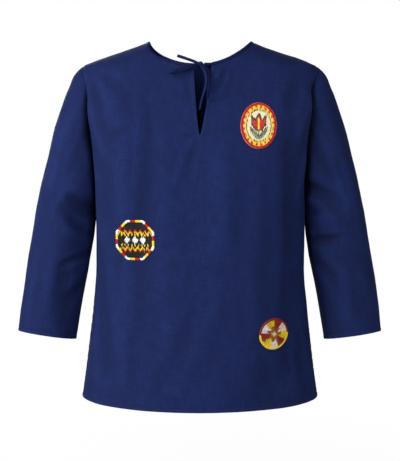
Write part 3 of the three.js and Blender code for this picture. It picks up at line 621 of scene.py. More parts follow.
def sweep(name, rings, uv, material, closed=False, rub=None):
    """A tube through rings of points (rings, sides, 3), capped at both ends or closed on itself."""
    attributes = () if rub is None else (("rub", "FLOAT", np.broadcast_to(rub, len(uv))),)
    count, sides = rings.shape[:2]
    index = np.arange(count * sides).reshape(count, sides)
    after = np.roll(index, -1, axis=1)
    quads = np.stack([index[:-1], index[1:], after[1:], after[:-1]], -1).reshape(-1, 4)
    faces = [tuple(q) for q in quads]
    if closed:
        faces += [tuple(q) for q in np.stack([index[-1], index[0], after[0], after[-1]], -1)]
    else:
        faces += [tuple(index[0]), tuple(index[-1][::-1])]
    piece = make_mesh(name, rings.reshape(-1, 3), faces, uv, attributes, material)
    point_out(piece)
    return piece


def point_out(piece):
    """Turns a closed piece's faces outwards if its volume comes out below zero."""
    mesh = piece.data
    mesh.calc_loop_triangles()
    co = np.zeros(len(mesh.vertices) * 3)
    mesh.vertices.foreach_get("co", co)
    tri = np.zeros(len(mesh.loop_triangles) * 3, int)
    mesh.loop_triangles.foreach_get("vertices", tri)
    a, b, c = co.reshape(-1, 3)[tri.reshape(-1, 3)].transpose(1, 0, 2)
    if np.einsum("ij,ij->i", a, np.cross(b, c)).sum() < 0:
        mesh.flip_normals()


def node(tree, kind, links=None, stops=(), **settings):
    """Adds a node to a tree, sets its fields, its input values and a ramp's colour stops, and links its inputs. A
    node that is given as a value stands for its first output."""
    made = tree.nodes.new(kind)
    for key, value in settings.items():
        setattr(made, key, value)
    for key, value in (links or {}).items():
        value = value.outputs[0] if isinstance(value, bpy.types.Node) else value
        if isinstance(value, bpy.types.NodeSocket):
            tree.links.new(value, made.inputs[key])
        else:
            made.inputs[key].default_value = value
    if stops:
        elements = made.color_ramp.elements
        while len(elements) < len(stops):
            elements.new(0.5)
        for element, (place, colour) in zip(elements, stops):
            element.position, element.color = place, (*colour, 1)
    return made


def new_material(name):
    material = bpy.data.materials.new(name)
    material.use_nodes = True
    material.node_tree.nodes.clear()
    return material, material.node_tree


def finish_material(material, tree, sockets):
    """Ends a material in one Principled shader. sockets holds values, or nodes for what varies."""
    shader = node(tree, "ShaderNodeBsdfPrincipled", sockets)
    node(tree, "ShaderNodeOutputMaterial", {"Surface": shader})
    return material


def woven_cotton(name, base, faded, dark, thread_mm, soft=0.9, bloom=0.03):
    """Plain-woven, piece-dyed cotton: matt, with a faint grain of uneven threads, a little bloom at grazing
    angles from its loose fibres, fold tops and sewn edges rubbed slightly paler, and painted shade and light: hollows,
    armhole folds and the sleeves' inner sides painted darker, the middle of the chest painted paler."""
    material, tree = new_material(name)
    place = node(tree, "ShaderNodeUVMap", uv_map="cloth")
    fine = node(tree, "ShaderNodeMapping", {"Vector": place, "Scale": (1000 / thread_mm, 1000 / thread_mm, 1)})
    split = node(tree, "ShaderNodeSeparateXYZ", {"Vector": fine})
    threads, slubs = [], []
    # slubs: threads that run a little thick for a while, 22 to 25 mm long and drawn 2 mm wide, so that they show
    for axis, scale in (("X", (520.0, 40.0, 1)), ("Y", (46.0, 520.0, 1))):
        turn = node(tree, "ShaderNodeMath", {0: split.outputs[axis], 1: math.pi}, operation="MULTIPLY")
        threads.append(node(tree, "ShaderNodeMath", {0: turn}, operation="SINE"))
        stretched = node(tree, "ShaderNodeMapping", {"Vector": place, "Scale": scale})
        slubs.append(node(tree, "ShaderNodeTexNoise", {"Vector": stretched, "Scale": 1.0, "Detail": 2.0},
                          noise_dimensions="2D").outputs["Fac"])
    weave = node(tree, "ShaderNodeMath", {0: threads[0], 1: threads[1]}, operation="MULTIPLY")
    both = node(tree, "ShaderNodeMath", {0: slubs[0], 1: slubs[1]}, operation="ADD")
    grain = node(tree, "ShaderNodeMath", {0: both, 1: 0.5}, operation="MULTIPLY")
    clouds = node(tree, "ShaderNodeTexNoise", {"Vector": place, "Scale": 22.0, "Detail": 3.0, "Roughness": 0.65},
                  noise_dimensions="2D").outputs["Fac"]
    # the cloth's tone attribute: wear, together with painted shade and painted light
    rub = node(tree, "ShaderNodeAttribute", attribute_name="rub").outputs["Fac"]
    cloudy = node(tree, "ShaderNodeMath", {0: clouds, 1: 0.3}, operation="MULTIPLY")
    tone = node(tree, "ShaderNodeMath", {0: grain, 1: 0.85, 2: cloudy}, operation="MULTIPLY_ADD")
    tone = node(tree, "ShaderNodeMath", {0: rub, 1: 0.3, 2: tone}, operation="MULTIPLY_ADD")
    # the two darkest stops are painted shade, reached where the tone attribute is lowered; the faded stop shows wear
    # and the painted light of the chest's middle
    colour = node(tree, "ShaderNodeValToRGB", {"Fac": tone}, stops=(
        (0.02, tuple(c * 0.35 for c in dark)), (0.22, dark), (0.575, base), (0.92, faded)))
    thick = node(tree, "ShaderNodeMath", {0: grain, 1: 1.2}, operation="MULTIPLY")
    height = node(tree, "ShaderNodeMath", {0: weave, 1: 0.35, 2: thick}, operation="MULTIPLY_ADD")
    bump = node(tree, "ShaderNodeBump", {"Strength": 0.35, "Distance": 0.00035, "Height": height})
    rough = node(tree, "ShaderNodeMath", {0: clouds, 1: 0.12, 2: soft - 0.06}, operation="MULTIPLY_ADD")
    return finish_material(material, tree, {
        "Base Color": colour, "Roughness": rough, "Specular IOR Level": 0.16, "Sheen Weight": bloom,
        "Sheen Roughness": 0.45, "Sheen Tint": (*linear("#7f8fc9"), 1), "Normal": bump})


def embroidery_thread(name):
    """Trilobal polyester embroidery thread in satin stitches: each stitch's own colour, a soft gloss along it and
    fine twisted strands across it."""
    material, tree = new_material(name)
    tint = node(tree, "ShaderNodeAttribute", attribute_name="thread")
    place = node(tree, "ShaderNodeTexCoord").outputs["Object"]
    # strands about 0.3 mm across, in small clumps that vary the shade
    strands = node(tree, "ShaderNodeTexNoise", {"Vector": place, "Scale": 3000.0, "Detail": 1.0}).outputs["Fac"]
    shade = node(tree, "ShaderNodeTexNoise", {"Vector": place, "Scale": 260.0, "Detail": 2.0}).outputs["Fac"]
    light = node(tree, "ShaderNodeMath", {0: shade, 1: 0.36, 2: 0.8}, operation="MULTIPLY_ADD")
    colour = node(tree, "ShaderNodeVectorMath", {0: tint, 1: light}, operation="MULTIPLY")
    bump = node(tree, "ShaderNodeBump", {"Strength": 0.3, "Distance": 0.0002, "Height": strands})
    return finish_material(material, tree, {
        "Base Color": colour, "Roughness": 0.45, "Specular IOR Level": 0.32, "Normal": bump})


def sewing_thread(name, colour):
    """Spun polyester sewing thread, matched to the cloth: a little glossier than the cotton round it."""
    material, tree = new_material(name)
    place = node(tree, "ShaderNodeTexCoord").outputs["Object"]
    twist = node(tree, "ShaderNodeTexNoise", {"Vector": place, "Scale": 2600.0, "Detail": 1.0}).outputs["Fac"]
    shaded = node(tree, "ShaderNodeValToRGB", {"Fac": twist}, stops=(
        (0.3, tuple(c * 0.7 for c in colour)), (0.7, colour)))
    bump = node(tree, "ShaderNodeBump", {"Strength": 0.4, "Distance": 0.0002, "Height": twist})
    return finish_material(material, tree, {
        "Base Color": shaded, "Roughness": 0.55, "Specular IOR Level": 0.4, "Normal": bump})


def patch_twill(name, ground):
    """Backing twill of a patch: a close diagonal weave under the stitches, matt and flat."""
    material, tree = new_material(name)
    place = node(tree, "ShaderNodeUVMap", uv_map="cloth")
    # diagonal ribs about 6.4 mm apart, coarser than real twill: little of them shows between the stitches
    ribs = node(tree, "ShaderNodeTexWave", {"Vector": place, "Scale": 1250.0 / (2 * math.pi) * 0.35,
                                            "Distortion": 0.6, "Detail": 1.0},
                wave_type="BANDS", bands_direction="DIAGONAL").outputs["Fac"]
    colour = node(tree, "ShaderNodeValToRGB", {"Fac": ribs}, stops=(
        (0.0, tuple(c * 0.72 for c in ground)), (1.0, ground)))
    bump = node(tree, "ShaderNodeBump", {"Strength": 0.4, "Distance": 0.0003, "Height": ribs})
    return finish_material(material, tree, {
        "Base Color": colour, "Roughness": 0.8, "Specular IOR Level": 0.3, "Normal": bump})


# ---------------------------------------------------------------- the cloth of front, back and sleeves
SEAM_ROWS = (0.7, 1.6, 2.6, 3.8, 5.2, 7.0, 9.5)  # distances of the close rows beside a sewn edge
HEM_ROWS = (0.7, 2.0, 4.0, 5.6, 6.4, 7.0, 7.6, 8.6, 10.5)
SLIT_ROWS = (0.7, 2.0, 3.8, 5.2, 6.0, 6.8, 8.4)
EDGE_PARTS = {"closed": 17, "open": 7, "side": 10, "armhole": 14, "neck": 7, "shoulder": 6}
PART_SAMPLES = 12
SEEDS = {"front": 10, "back": 20, "left": 30, "right": 40}
BODY_WAVES = ((160, 60, 0.45), (34, 15, 0.09))  # unevenness: longest and shortest wave, and height
SLEEVE_WAVES = ((130, 45, 0.45), (30, 14, 0.09))
# How much of the cloth's movement is taken away by a patch, and by each sewn edge with how far that reaches.
PATCH_HOLD = 0.85
HOLD = {"seam": (0.96, 9), "slit": (0.55, 5), "cap": (0.96, 8), "underarm": (0.9, 5)}
SLIT_FACING = 6.0  # from the slit's edge to its row of stitches
HEM_LAYER, SLIT_LAYER = 0.9, 0.7  # how much thicker the cloth is where it is folded over
NECK_SINK, NECK_REACH = 1.3, 2.6  # how far the neck edge stands back inside its binding, and how far that reaches
# How much paler wear makes the crests and the edges, how far that reaches and how far a seam's lip lies from it. The
# crest share also paints shade: it darkens the hollows as much as it pales the tops.
WORN = {"crest": 0.45, "hem": 0.8, "side": 0.5, "slit": 0.6, "cuff": 0.9}
WORN_REACH, SEAM_LIP = 1.6, 2.2
FOLD_REACH = 14  # how far the broad part of the armhole's fold reaches over the cloth
BROAD_FOLD = {"left": 0.3, "right": 0.1}  # the share of that part in the sleeve's own fold
# The middle of the body is a little paler from some way below the neck, because it faces the light most.
PALE = {"share": 0.26, "middle": 14, "width": 62, "levels": (60, 260)}
# The side of a sleeve that is turned to the body is a little deeper in colour, because it sees less light: from and
# to which turn, in degrees, and from and to how far down the colour sets in.
SHADED = {"left": {"share": 0.5, "turns": (88, 140), "levels": (290, 380)},
          "right": {"share": 0.42, "turns": (66, 118), "levels": (110, 230)}}


def spaced(span, cell, near_start=(), near_end=()):
    """Shares from 0 to 1 over a span, at about a cell apart, with close lines at either end."""
    start = [d / span for d in near_start]
    end = [1 - d / span for d in near_end][::-1]
    low, high = (start[-1] if start else 0.0), (end[0] if end else 1.0)
    middle = np.linspace(low, high, max(2, round(span * (high - low) / cell)) + 1)
    return np.unique(np.round([0.0, *start, *middle, *end, 1.0], 7))


def lengths(points, axis, back=False):
    """The distance along the rows or columns of a grid from its first line, or from its last."""
    steps = np.linalg.norm(np.diff(points, axis=axis), axis=-1)
    if back:
        steps = np.flip(steps, axis)
    start = np.zeros_like(np.take(steps, [0], axis))
    total = np.concatenate([start, np.cumsum(steps, axis)], axis)
    return np.flip(total, axis) if back else total


def pucker(along, seed, shortest=8.0, longest=21.0):
    """The small uneven waves that a row of stitches draws up, from -1 to 1 along the seam."""
    rng = np.random.default_rng(seed)
    waves = [np.sin(2 * math.pi * along / rng.uniform(shortest, longest) + rng.uniform(0, 6.3)) for _ in range(5)]
    return np.clip(sum(waves) / 2.4, -1, 1)


def smooth_step(value, low, high):
    t = np.clip((value - low) / (high - low), 0, 1)
    return t * t * (3 - 2 * t)


def crest(height, reach=4):
    """How far each point of a grid stands above the cloth round it, from -1 to 1."""
    padded = np.pad(height, reach, mode="edge")
    rows, columns = height.shape
    near = [padded[reach + a:reach + a + rows, reach + b:reach + b + columns]
            for a in (-reach, 0, reach) for b in (-reach, 0, reach)]
    return np.clip((height - np.mean(near, axis=0)) / 0.7, -1, 1)


def line_distance(places, line, reach=60.0):
    """How far flat places lie from a line of places: exact within reach, and reach beyond it."""
    distance = np.full(places.shape[:-1], reach)
    low, high = line.min(0) - reach, line.max(0) + reach
    close = np.all((places > low) & (places < high), -1)
    distance[close] = np.minimum(nearest(places[close], line)[0], reach)
    return distance


def slit_distance(places, side):
    """How far places on a half panel lie from the slit's edge, in the flat cloth."""
    z = np.linspace(SLIT["end"], -NECK["front_drop"], 40)
    return line_distance(places, slit_line(side, z))


def patch_cover(places, sign):
    """1 where a patch lies on the front and stiffens it, falling to 0 just outside its edge."""
    cover = np.zeros(places.shape[:-1])
    for patch in PATCHES.values():
        if patch["x"] * sign < 0:
            continue
        middle = around_at("front", abs(patch["x"]), patch["z"])
        rise = np.hypot((places[..., 0] - middle) / (patch["wide"] / 2),
                        (places[..., 1] - patch["z"]) / (patch["high"] / 2))
        cover = np.maximum(cover, 1 - smooth_step(rise, 0.95, 1.35))
    return cover


def shoulder_ease(z):
    """How deep an armhole seam sinks: pressed flat over the shoulder, deeper where the sleeve hangs away from it."""
    return 0.22 + 0.78 * smooth_step(-z, 110, 210)


def armhole_painted_shade(points, side, far, wide):
    """How much painted shade darkens the cloth along the armhole's fold: more where the fold is deeper and close to it.
    """
    deep, round_it = (smooth_column(ARMHOLE_FOLDS[side], k)(points[..., 2]) for k in (2, 4))
    return deep / 20 * 2.4 * dip(far, wide) + round_it * np.exp(-far / FOLD_REACH)


def armhole_pull(points, side, shares, cloth):
    """How far the seam draws points into the fold between the body and the hanging sleeve, inwards and backwards:
    both shares are 1 on the seam, whose places alone settle the rest, so that its two sides stay together."""
    across, deep = (smooth_column(ARMHOLE_FOLDS[side], k + 1)(points[..., 2]) * share * cloth.armhole_fold
                    for k, share in enumerate(shares))
    return np.stack([-across * np.sign(points[..., 0]), -deep * np.tanh(points[..., 1] / 15), 0 * deep], -1)


def held(distance, edge):
    """How free the cloth is near a sewn edge, from 0 to 1."""
    share, reach = HOLD[edge]
    return 1 - share * dip(distance, reach)


def soft_height(folds, creases, waves, seed, places, free, cloth):
    """The height of the folds and, where cloth is free to move, of its creases and its seeded unevenness."""
    loose = crease_height(creases, places) * cloth.crease_strength
    for k, wave in enumerate(waves):
        loose = loose + unevenness(places, seed + k, *wave)
    return fold_height(folds, places) + free * loose


def hem_height(away, along, seed, drawn, cloth):
    """The height of a stitched hem, and where it is folded double. Its line of stitches and its edge are sunk, and
    the stitches draw up small waves."""
    depth = cloth.hem_depth / MM
    double = 1 - smooth_step(away, depth - 0.8, depth + 0.4)
    sunk = 0.4 * dip(away - depth, 0.9) + 0.35 * dip(away, 0.9)
    return 0.35 * double - sunk + drawn * pucker(along, seed) * dip(away - depth, 6), double


def half_panel(face, side, cell, cloth):
    """One half of the front or back: its outer and inner skins, the directions they look in and their places."""
    sign = 1 if side == "right" else -1
    slit = face == "front"
    start_x = SLIT[side][0] if slit else 0.0
    n = {part: cells * PART_SAMPLES for part, cells in EDGE_PARTS.items()}
    hem_girth = float(girth(face, HEM)[0])
    hem = np.stack([np.linspace(0, hem_girth, 200), np.full(200, HEM)], -1)
    neck_line = neck_place(face, side, np.linspace(0, 1, n["neck"] + 1), start_x)
    shoulder_z = SHOULDER_Z * np.linspace(0, 1, n["shoulder"] + 1)[1:]
    closed_z = np.linspace(HEM, SLIT["end"], n["closed"] + 1)
    open_z = np.linspace(SLIT["end"], neck_line[0, 1], n["open"] + 1)[1:]
    open_s = around_at(face, slit_edge(side, open_z), open_z) if slit else np.zeros(len(open_z))
    middle = np.concatenate([np.stack([np.zeros(len(closed_z)), closed_z], -1), np.stack([open_s, open_z], -1)])
    side_z = np.linspace(HEM, UNDERARM_Z, n["side"] + 1)
    hole = armhole(face, n["armhole"] + 1)[::-1][1:]
    hole = sleeve_form(hole[:, 0], hole[:, 1])
    side_line = np.concatenate([np.stack([girth(face, side_z), side_z], -1),
                                np.stack([around_at(face, hole[:, 0], hole[:, 2]), hole[:, 2]], -1)])
    top = np.concatenate([neck_line, np.stack([girth(face, shoulder_z), shoulder_z], -1)])
    middle[-1], top[-1] = top[0], side_line[-1]

    us = spaced(hem_girth, cell, SLIT_ROWS if slit else (), SEAM_ROWS)
    vs = spaced(-HEM, cell, HEM_ROWS, SEAM_ROWS)
    places = patchwork(hem, top, middle, side_line, us, vs)
    flat = places * (sign, 1)
    points, normals = body_point(face, flat[..., 0], flat[..., 1])

    from_side = lengths(points, 1, back=True)
    from_top, from_hem = lengths(points, 0, back=True), lengths(points, 0)
    neck_share = EDGE_PARTS["neck"] / (EDGE_PARTS["neck"] + EDGE_PARTS["shoulder"])
    is_neck = np.broadcast_to(us[None, :] < neck_share, from_side.shape)
    along_side, along_hem = lengths(points[:, -1:], 0), lengths(points[:1], 1)
    from_slit = slit_distance(places, side) if slit else np.full(from_side.shape, 99.0)

    # loose cloth moves freely, and less where it is sewn, bound or stiffened by a patch
    free = held(np.minimum(from_side, from_top), "seam") * held(from_slit, "slit")
    if slit:
        free = free * (1 - PATCH_HOLD * patch_cover(places, sign))
    seed = SEEDS[face]
    height = soft_height(BODY_FOLDS[face], CREASES[face], BODY_WAVES, seed, flat, free, cloth)
    # sewn edges roll in, and their stitches draw up small waves
    drawn = pucker(along_side, seed + (2 if sign > 0 else 3)) * dip(from_side - 5, 6)
    roll = cloth.seam_roll / MM
    height = height - roll * shoulder_ease(points[..., 2]) * dip(from_side, 2.0) + 0.35 * drawn
    height = height - np.where(is_neck, 0, 0.3 * roll * dip(from_top, 1.6))
    hem, in_hem = hem_height(from_hem, along_hem * sign + 400, seed + 4, 0.28, cloth)
    height = height + hem
    in_slit = np.zeros_like(height)
    if slit:
        in_slit = 1 - smooth_step(from_slit, SLIT_FACING - 0.6, SLIT_FACING + 0.6)
    height = height + 0.3 * in_slit - 0.45 * dip(from_slit - SLIT_FACING, 0.9) - 0.3 * dip(from_slit, 0.9)
    down = unit(np.gradient(points, axis=0)) * -1
    points = points + down * (NECK_SINK * is_neck * np.exp(-from_top / NECK_REACH))[..., None]

    outer = points + normals * height[..., None]
    outer = outer + armhole_pull(points, side, (dip(from_side, 8), dip(from_side, 3.4)), cloth)
    thickness = cloth.thickness / MM * (1 + HEM_LAYER * in_hem + SLIT_LAYER * in_slit)
    inner = outer - normals * thickness[..., None]
    # fold tops paler with wear, and hollows darker: painted shade
    rub = WORN["crest"] * crest(height)
    for edge, away in (("hem", from_hem), ("side", from_side - SEAM_LIP), ("slit", from_slit)):
        rub = rub + WORN[edge] * dip(away, WORN_REACH)
    # painted shade along the armhole's fold
    rub = rub - armhole_painted_shade(points, side, from_side, 4) * dip(from_side, 8)
    # painted light: the middle of the chest paler where it faces the light
    rub = rub + PALE["share"] * dip(flat[..., 0] - PALE["middle"], PALE["width"]) * smooth_step(
        -flat[..., 1], *PALE["levels"])
    return {"outer": outer, "inner": inner, "normals": normals, "flat": flat, "height": height, "rub": rub,
            "from_hem": from_hem, "rows": vs}


def join_halves(face, halves):
    """The two halves of a panel as one set of points and cells: they share the middle line below the slit."""
    stack = {key: [] for key in ("outer", "inner", "flat", "rub")}
    quads, total, shared = [], 0, None
    for side in ("left", "right"):
        half = halves[side]
        rows, columns = half["rub"].shape
        index = np.full((rows, columns), -1)
        joined = half["rows"] <= EDGE_PARTS["closed"] / (EDGE_PARTS["closed"] + EDGE_PARTS["open"]) + 1e-6
        if face == "back":
            joined = np.ones(rows, bool)
        own = np.ones((rows, columns), bool)
        if side == "right":
            own[joined, 0] = False
            index[joined, 0] = shared[joined]
        index[own] = total + np.arange(own.sum())
        total += int(own.sum())
        for key, values in stack.items():
            values.append(half[key][own])
        shared = index[:, 0].copy()
        quads.append(grid_quads(index, (side == "right") != (face == "front")))
    return {key: np.concatenate(values) for key, values in stack.items()}, np.concatenate(quads)


def sleeve_cloth(side, cell, cloth):
    """The whole sleeve as one grid from the cuff up, its edges meeting along the underarm seam."""
    cap_front, cap_back = armhole("front"), armhole("back")[::-1]
    cap = np.concatenate([cap_back, cap_front[1:]]) * (SLEEVE_ROUND, 1)
    edge = math.pi * SLEEVE_ROUND
    cuff = np.stack([np.linspace(-edge, edge, 200), np.full(200, CUFF)], -1)
    rise = [np.stack([np.full(200, x), np.linspace(CUFF, UNDERARM, 200)], -1) for x in (-edge, edge)]
    us = spaced(2 * edge, cell, SEAM_ROWS, SEAM_ROWS)
    vs = spaced(-CUFF - 140, cell, HEM_ROWS, SEAM_ROWS)
    places = patchwork(cuff, cap, rise[0], rise[1], us, vs)
    points, normals = sleeve_point(places[..., 0] / SLEEVE_ROUND, places[..., 1])

    from_seam = np.minimum(lengths(points, 1), lengths(points, 1, back=True))
    from_cuff = lengths(points, 0)
    along_cap, along_cuff = lengths(points[-1:], 1), lengths(points[:1], 1)
    to_mm = math.radians(1) * SLEEVE_ROUND
    folds = [(a * to_mm, b, c * to_mm, d, w, h) for a, b, c, d, w, h in SLEEVE_FOLDS[side]]
    creases = [(a * to_mm, b, c * to_mm, d, e * to_mm, f, w0, w1, deep)
               for a, b, c, d, e, f, w0, w1, deep in CREASES[side]]
    seed = SEEDS[side]
    cap_far = line_distance(places, cap[::4])
    free = held(cap_far, "cap") * held(from_seam, "underarm")
    height = soft_height(folds, creases, SLEEVE_WAVES, seed, places, free, cloth)
    roll = cloth.seam_roll / MM
    height = height - roll * shoulder_ease(points[..., 2]) * dip(cap_far, 2.0) - 0.7 * roll * dip(from_seam, 1.8)
    height = height + 0.5 * pucker(along_cap, seed + 2) * dip(cap_far - 6, 6)
    hem, in_hem = hem_height(from_cuff, along_cuff, seed + 3, 0.25, cloth)
    height = height + hem
    width = smooth_column(ARMHOLE_FOLDS[side], 3)(points[..., 2])
    slow, steep, broad = np.exp(-cap_far / FOLD_REACH), dip(cap_far, width), BROAD_FOLD[side]
    outer = points + normals * height[..., None]
    outer = outer + armhole_pull(points, side, (slow, broad * slow + (1 - broad) * steep), cloth)
    inner = outer - normals * (cloth.thickness / MM * (1 + HEM_LAYER * in_hem))[..., None]
    # fold tops paler with wear, and hollows darker: painted shade
    rub = WORN["crest"] * crest(height) + WORN["cuff"] * dip(from_cuff, WORN_REACH)
    # painted shade along the armhole's fold, on the sleeve
    rub = rub - armhole_painted_shade(points, side, cap_far, 1.2 * width)
    # painted shade on the side of the sleeve turned to the body
    shaded = SHADED[side]
    turned = smooth_step(np.abs(places[..., 0]) / to_mm, *shaded["turns"])
    rub = rub - shaded["share"] * turned * smooth_step(-places[..., 1], *shaded["levels"])
    grid = {"outer": outer, "inner": inner, "normals": normals, "flat": places, "rub": rub, "from_hem": from_cuff}
    if side == "left":
        for key in ("outer", "inner", "normals"):
            grid[key] = grid[key] * (-1, 1, 1)
    return grid


def trace(grid, distances, value):
    """The line on a grid that lies at a distance from its first row: its points and directions out."""
    rows = distances.shape[0]
    columns = np.arange(distances.shape[1])
    j = np.clip((distances < value).sum(0), 1, rows - 1)
    low, high = distances[j - 1, columns], distances[j, columns]
    t = ((value - low) / np.maximum(high - low, 1e-6))[:, None]
    mix = [grid[key][j - 1, columns] * (1 - t) + grid[key][j, columns] * t for key in ("outer", "normals")]
    return mix[0], unit(mix[1])


GRIDS = {}


def cloth_grids(name, cloth):
    """The halves of the front or back, or a whole sleeve: made once, because several pieces are fitted to them."""
    if name not in GRIDS:
        cell = cloth.cell / MM
        if name in ("front", "back"):
            GRIDS[name] = {side: half_panel(name, side, cell, cloth) for side in ("left", "right")}
        else:
            GRIDS[name] = sleeve_cloth(name, cell, cloth)
    return GRIDS[name]


def on_panel(face, places, cloth):
    """Points on the outer skin of the front or back and the directions they look in, at any flat places."""
    halves = cloth_grids(face, cloth)
    flat = np.concatenate([half["flat"].reshape(-1, 2) for half in halves.values()])
    height = np.concatenate([half["height"].ravel() for half in halves.values()])
    places = np.asarray(places, float).reshape(-1, 2)
    out = np.empty(len(places))
    for k in range(0, len(places), 256):
        far = ((places[k:k + 256, None] - flat[None]) ** 2).sum(-1)
        near = np.argpartition(far, 4, axis=1)[:, :4]
        weight = 1 / (np.take_along_axis(far, near, 1) + 0.01)
        out[k:k + 256] = (height[near] * weight).sum(1) / weight.sum(1)
    points, normals = body_point(face, places[:, 0], places[:, 1])
    return points + normals * out[:, None], normals


# ---------------------------------------------------------------- tapes, binding and knot
# The tape's cut: one corner from its edge inwards, mirrored to the other three with a thin middle between them.
TAPE_CORNER = ((0.5, 0.28), (0.47, 0.44), (0.4, 0.5), (0.3, 0.4))
TAPE_FACE = (*((-x, -y) for x, y in TAPE_CORNER), (0.0, -0.42), *((x, -y) for x, y in TAPE_CORNER[::-1]))
TAPE_SECTION = (*TAPE_FACE, *((-x, -y) for x, y in TAPE_FACE))
BINDING_STITCH = (4.0, 1.34)  # where its stitches lie: down from the neck edge and off the cloth
# The binding's cut: distance down from the neck edge and height off the cloth's face, round its folded section.
BINDING_SECTION = ((5.0, 0.5), (5.2, 0.95), (4.8, 1.35), (3.9, 1.3), (2.4, 1.6), (0.9, 1.5), (-0.4, 1.0), (-1.0, 0.1),
                   (-0.9, -0.9), (-0.3, -1.7), (0.9, -2.2), (2.4, -2.4), (4.8, -2.4), (5.2, -2.0), (5.0, -1.6),
                   (2.4, -1.6), (0.9, -1.5), (0.2, -1.0), (0.0, -0.4), (0.2, 0.2), (0.9, 0.5), (2.4, 0.55))


def tape(name, route, wide_start, wide_end, width, thick, material, spacing=1.4, folded_end=False):
    """A flat woven tape along a route, its width turning from one direction to another."""
    line, length = centripetal(route, spacing)
    along = unit(np.gradient(line, axis=0))
    share = np.linspace(0, 1, len(line))[:, None]
    wide = unit(np.array(wide_start)) * (1 - share) + unit(np.array(wide_end)) * share
    wide = unit(wide - along * (wide * along).sum(1, keepdims=True))
    face = np.cross(along, wide)
    section = np.array(TAPE_SECTION)
    rng = np.random.default_rng(len(name) + len(route))
    spread = 1 + 0.035 * np.sin(share[:, 0] * length / 5.5 + rng.uniform(0, 6))
    spread[:2] *= (0.94, 0.985)
    spread[-2:] *= (0.985, 0.94)
    fat = np.ones(len(line))
    if folded_end:
        fat = fat + 0.22 * smooth_step(share[:, 0] * length, length - 5.0, length - 4.0)
        fat[-1] = 0.8
    rings = (line[:, None] + wide[:, None] * (section[None, :, :1] * width * spread[:, None, None])
             + face[:, None] * (section[None, :, 1:] * thick * fat[:, None, None]))
    around = run_length(section * (width, thick))
    place = paired(share * length, around[None])
    piece = sweep(name, rings, place, material, rub=0.25)
    return piece, line, length


def neck_edge(samples=46):
    """The neck edge from the slit's left side round the back to its right side: points, directions out and down."""
    points, normals = [], []
    for face, side in (("front", "left"), ("back", "left"), ("back", "right"), ("front", "right")):
        start_x = SLIT[side][0] if face == "front" else 0.0
        places = neck_place(face, side, np.linspace(0, 1, samples), start_x)
        p, n = body_point(face, places[:, 0] * (1 if side == "right" else -1), places[:, 1])
        if (face == "back") == (side == "left"):
            p, n = p[::-1], n[::-1]
        keep = slice(0 if not points else 1, None)
        points.append(p[keep])
        normals.append(n[keep])
    line, out = np.concatenate(points), np.concatenate(normals)
    even = np.linspace(0, 1, 4 * samples)
    line, out = along_line(np.hstack([line, out]), even)[:, :3], along_line(np.hstack([line, out]), even)[:, 3:]
    out = unit(out)
    down = unit(np.cross(unit(np.gradient(line, axis=0)), out))
    return line, out, down * np.where(down[:, 2:] > 0, -1, 1)


def binding_rings(line, out, down):
    section = np.array(BINDING_SECTION)
    along = lengths(line[None], 1)[0]
    waves = pucker(along, 51, 7, 15)
    low = (section[:, 0] / 5.2)[None] * waves[:, None] * 0.28
    off = section[None, :, 1] * (1 + 0.1 * waves[:, None] * (section[None, :, 1] > 0.6))
    return (line[:, None] + down[:, None] * (section[None, :, 0] + low)[..., None] + out[:, None] * off[..., None],
            paired(along[:, None], section[None, :, 0]))


def knot_lump(name, material):
    """The core of the knot: a lump of squeezed tape with soft ridges."""
    rows, columns = 20, 40
    tilt = np.linspace(0.04, math.pi - 0.04, rows)[:, None]
    turn = full_turn(columns)[None, :]
    ridge = 1 + 0.07 * np.sin(3 * turn + 4 * tilt) + 0.05 * np.sin(5 * turn - 3 * tilt + 1)
    body = np.stack(np.broadcast_arrays(np.cos(tilt) * 0.92, np.sin(tilt) * np.cos(turn) * 0.8 * ridge,
                                        np.sin(tilt) * np.sin(turn) * 0.8 * ridge), -1)
    points = np.array(KNOT["centre"]) + body * np.array(KNOT["radii"])
    place = paired(tilt * 6, turn * 5)
    return sweep(name, points, place, material, rub=0.2)


# ---------------------------------------------------------------- stitches
def stitch_outputs(tree, points, source, along):
    """Ends a stitch tree: one thread on each point, its length along a direction and its back against the cloth."""
    out = node(tree, "GeometryNodeInputNamedAttribute", {"Name": "out"}, data_type="FLOAT_VECTOR")
    long = node(tree, "GeometryNodeInputNamedAttribute", {"Name": "long"}, data_type="FLOAT")
    aimed = node(tree, "FunctionNodeAlignRotationToVector", {"Vector": along}, axis="Z")
    faced = node(tree, "FunctionNodeAlignRotationToVector",
                 {"Rotation": aimed, "Vector": out}, axis="X", pivot_axis="Z")
    half = node(tree, "ShaderNodeMath", {0: source.outputs["Length"], 1: long}, operation="MULTIPLY")
    size = node(tree, "ShaderNodeCombineXYZ", {"X": source.outputs["Height"], "Y": source.outputs["Width"],
                                               "Z": half})
    thread = node(tree, "GeometryNodeMeshUVSphere", {"Segments": 6, "Rings": 4, "Radius": 0.5})
    smooth = node(tree, "GeometryNodeSetShadeSmooth", {"Geometry": thread})
    placed = node(tree, "GeometryNodeInstanceOnPoints", {"Points": points, "Instance": smooth,
                                                         "Rotation": faced, "Scale": size})
    real = node(tree, "GeometryNodeRealizeInstances", {"Geometry": placed})
    dyed = node(tree, "GeometryNodeSetMaterial", {"Geometry": real,
                                                  "Material": source.outputs["Material"]})
    node(tree, "NodeGroupOutput", {"Geometry": dyed})


def stitch_tree(name, sockets):
    tree = bpy.data.node_groups.new(name, "GeometryNodeTree")
    tree.interface.new_socket("Geometry", in_out="INPUT", socket_type="NodeSocketGeometry")
    for label, kind in sockets:
        tree.interface.new_socket(label, in_out="INPUT", socket_type=kind)
    tree.interface.new_socket("Geometry", in_out="OUTPUT", socket_type="NodeSocketGeometry")
    return tree, node(tree, "NodeGroupInput")


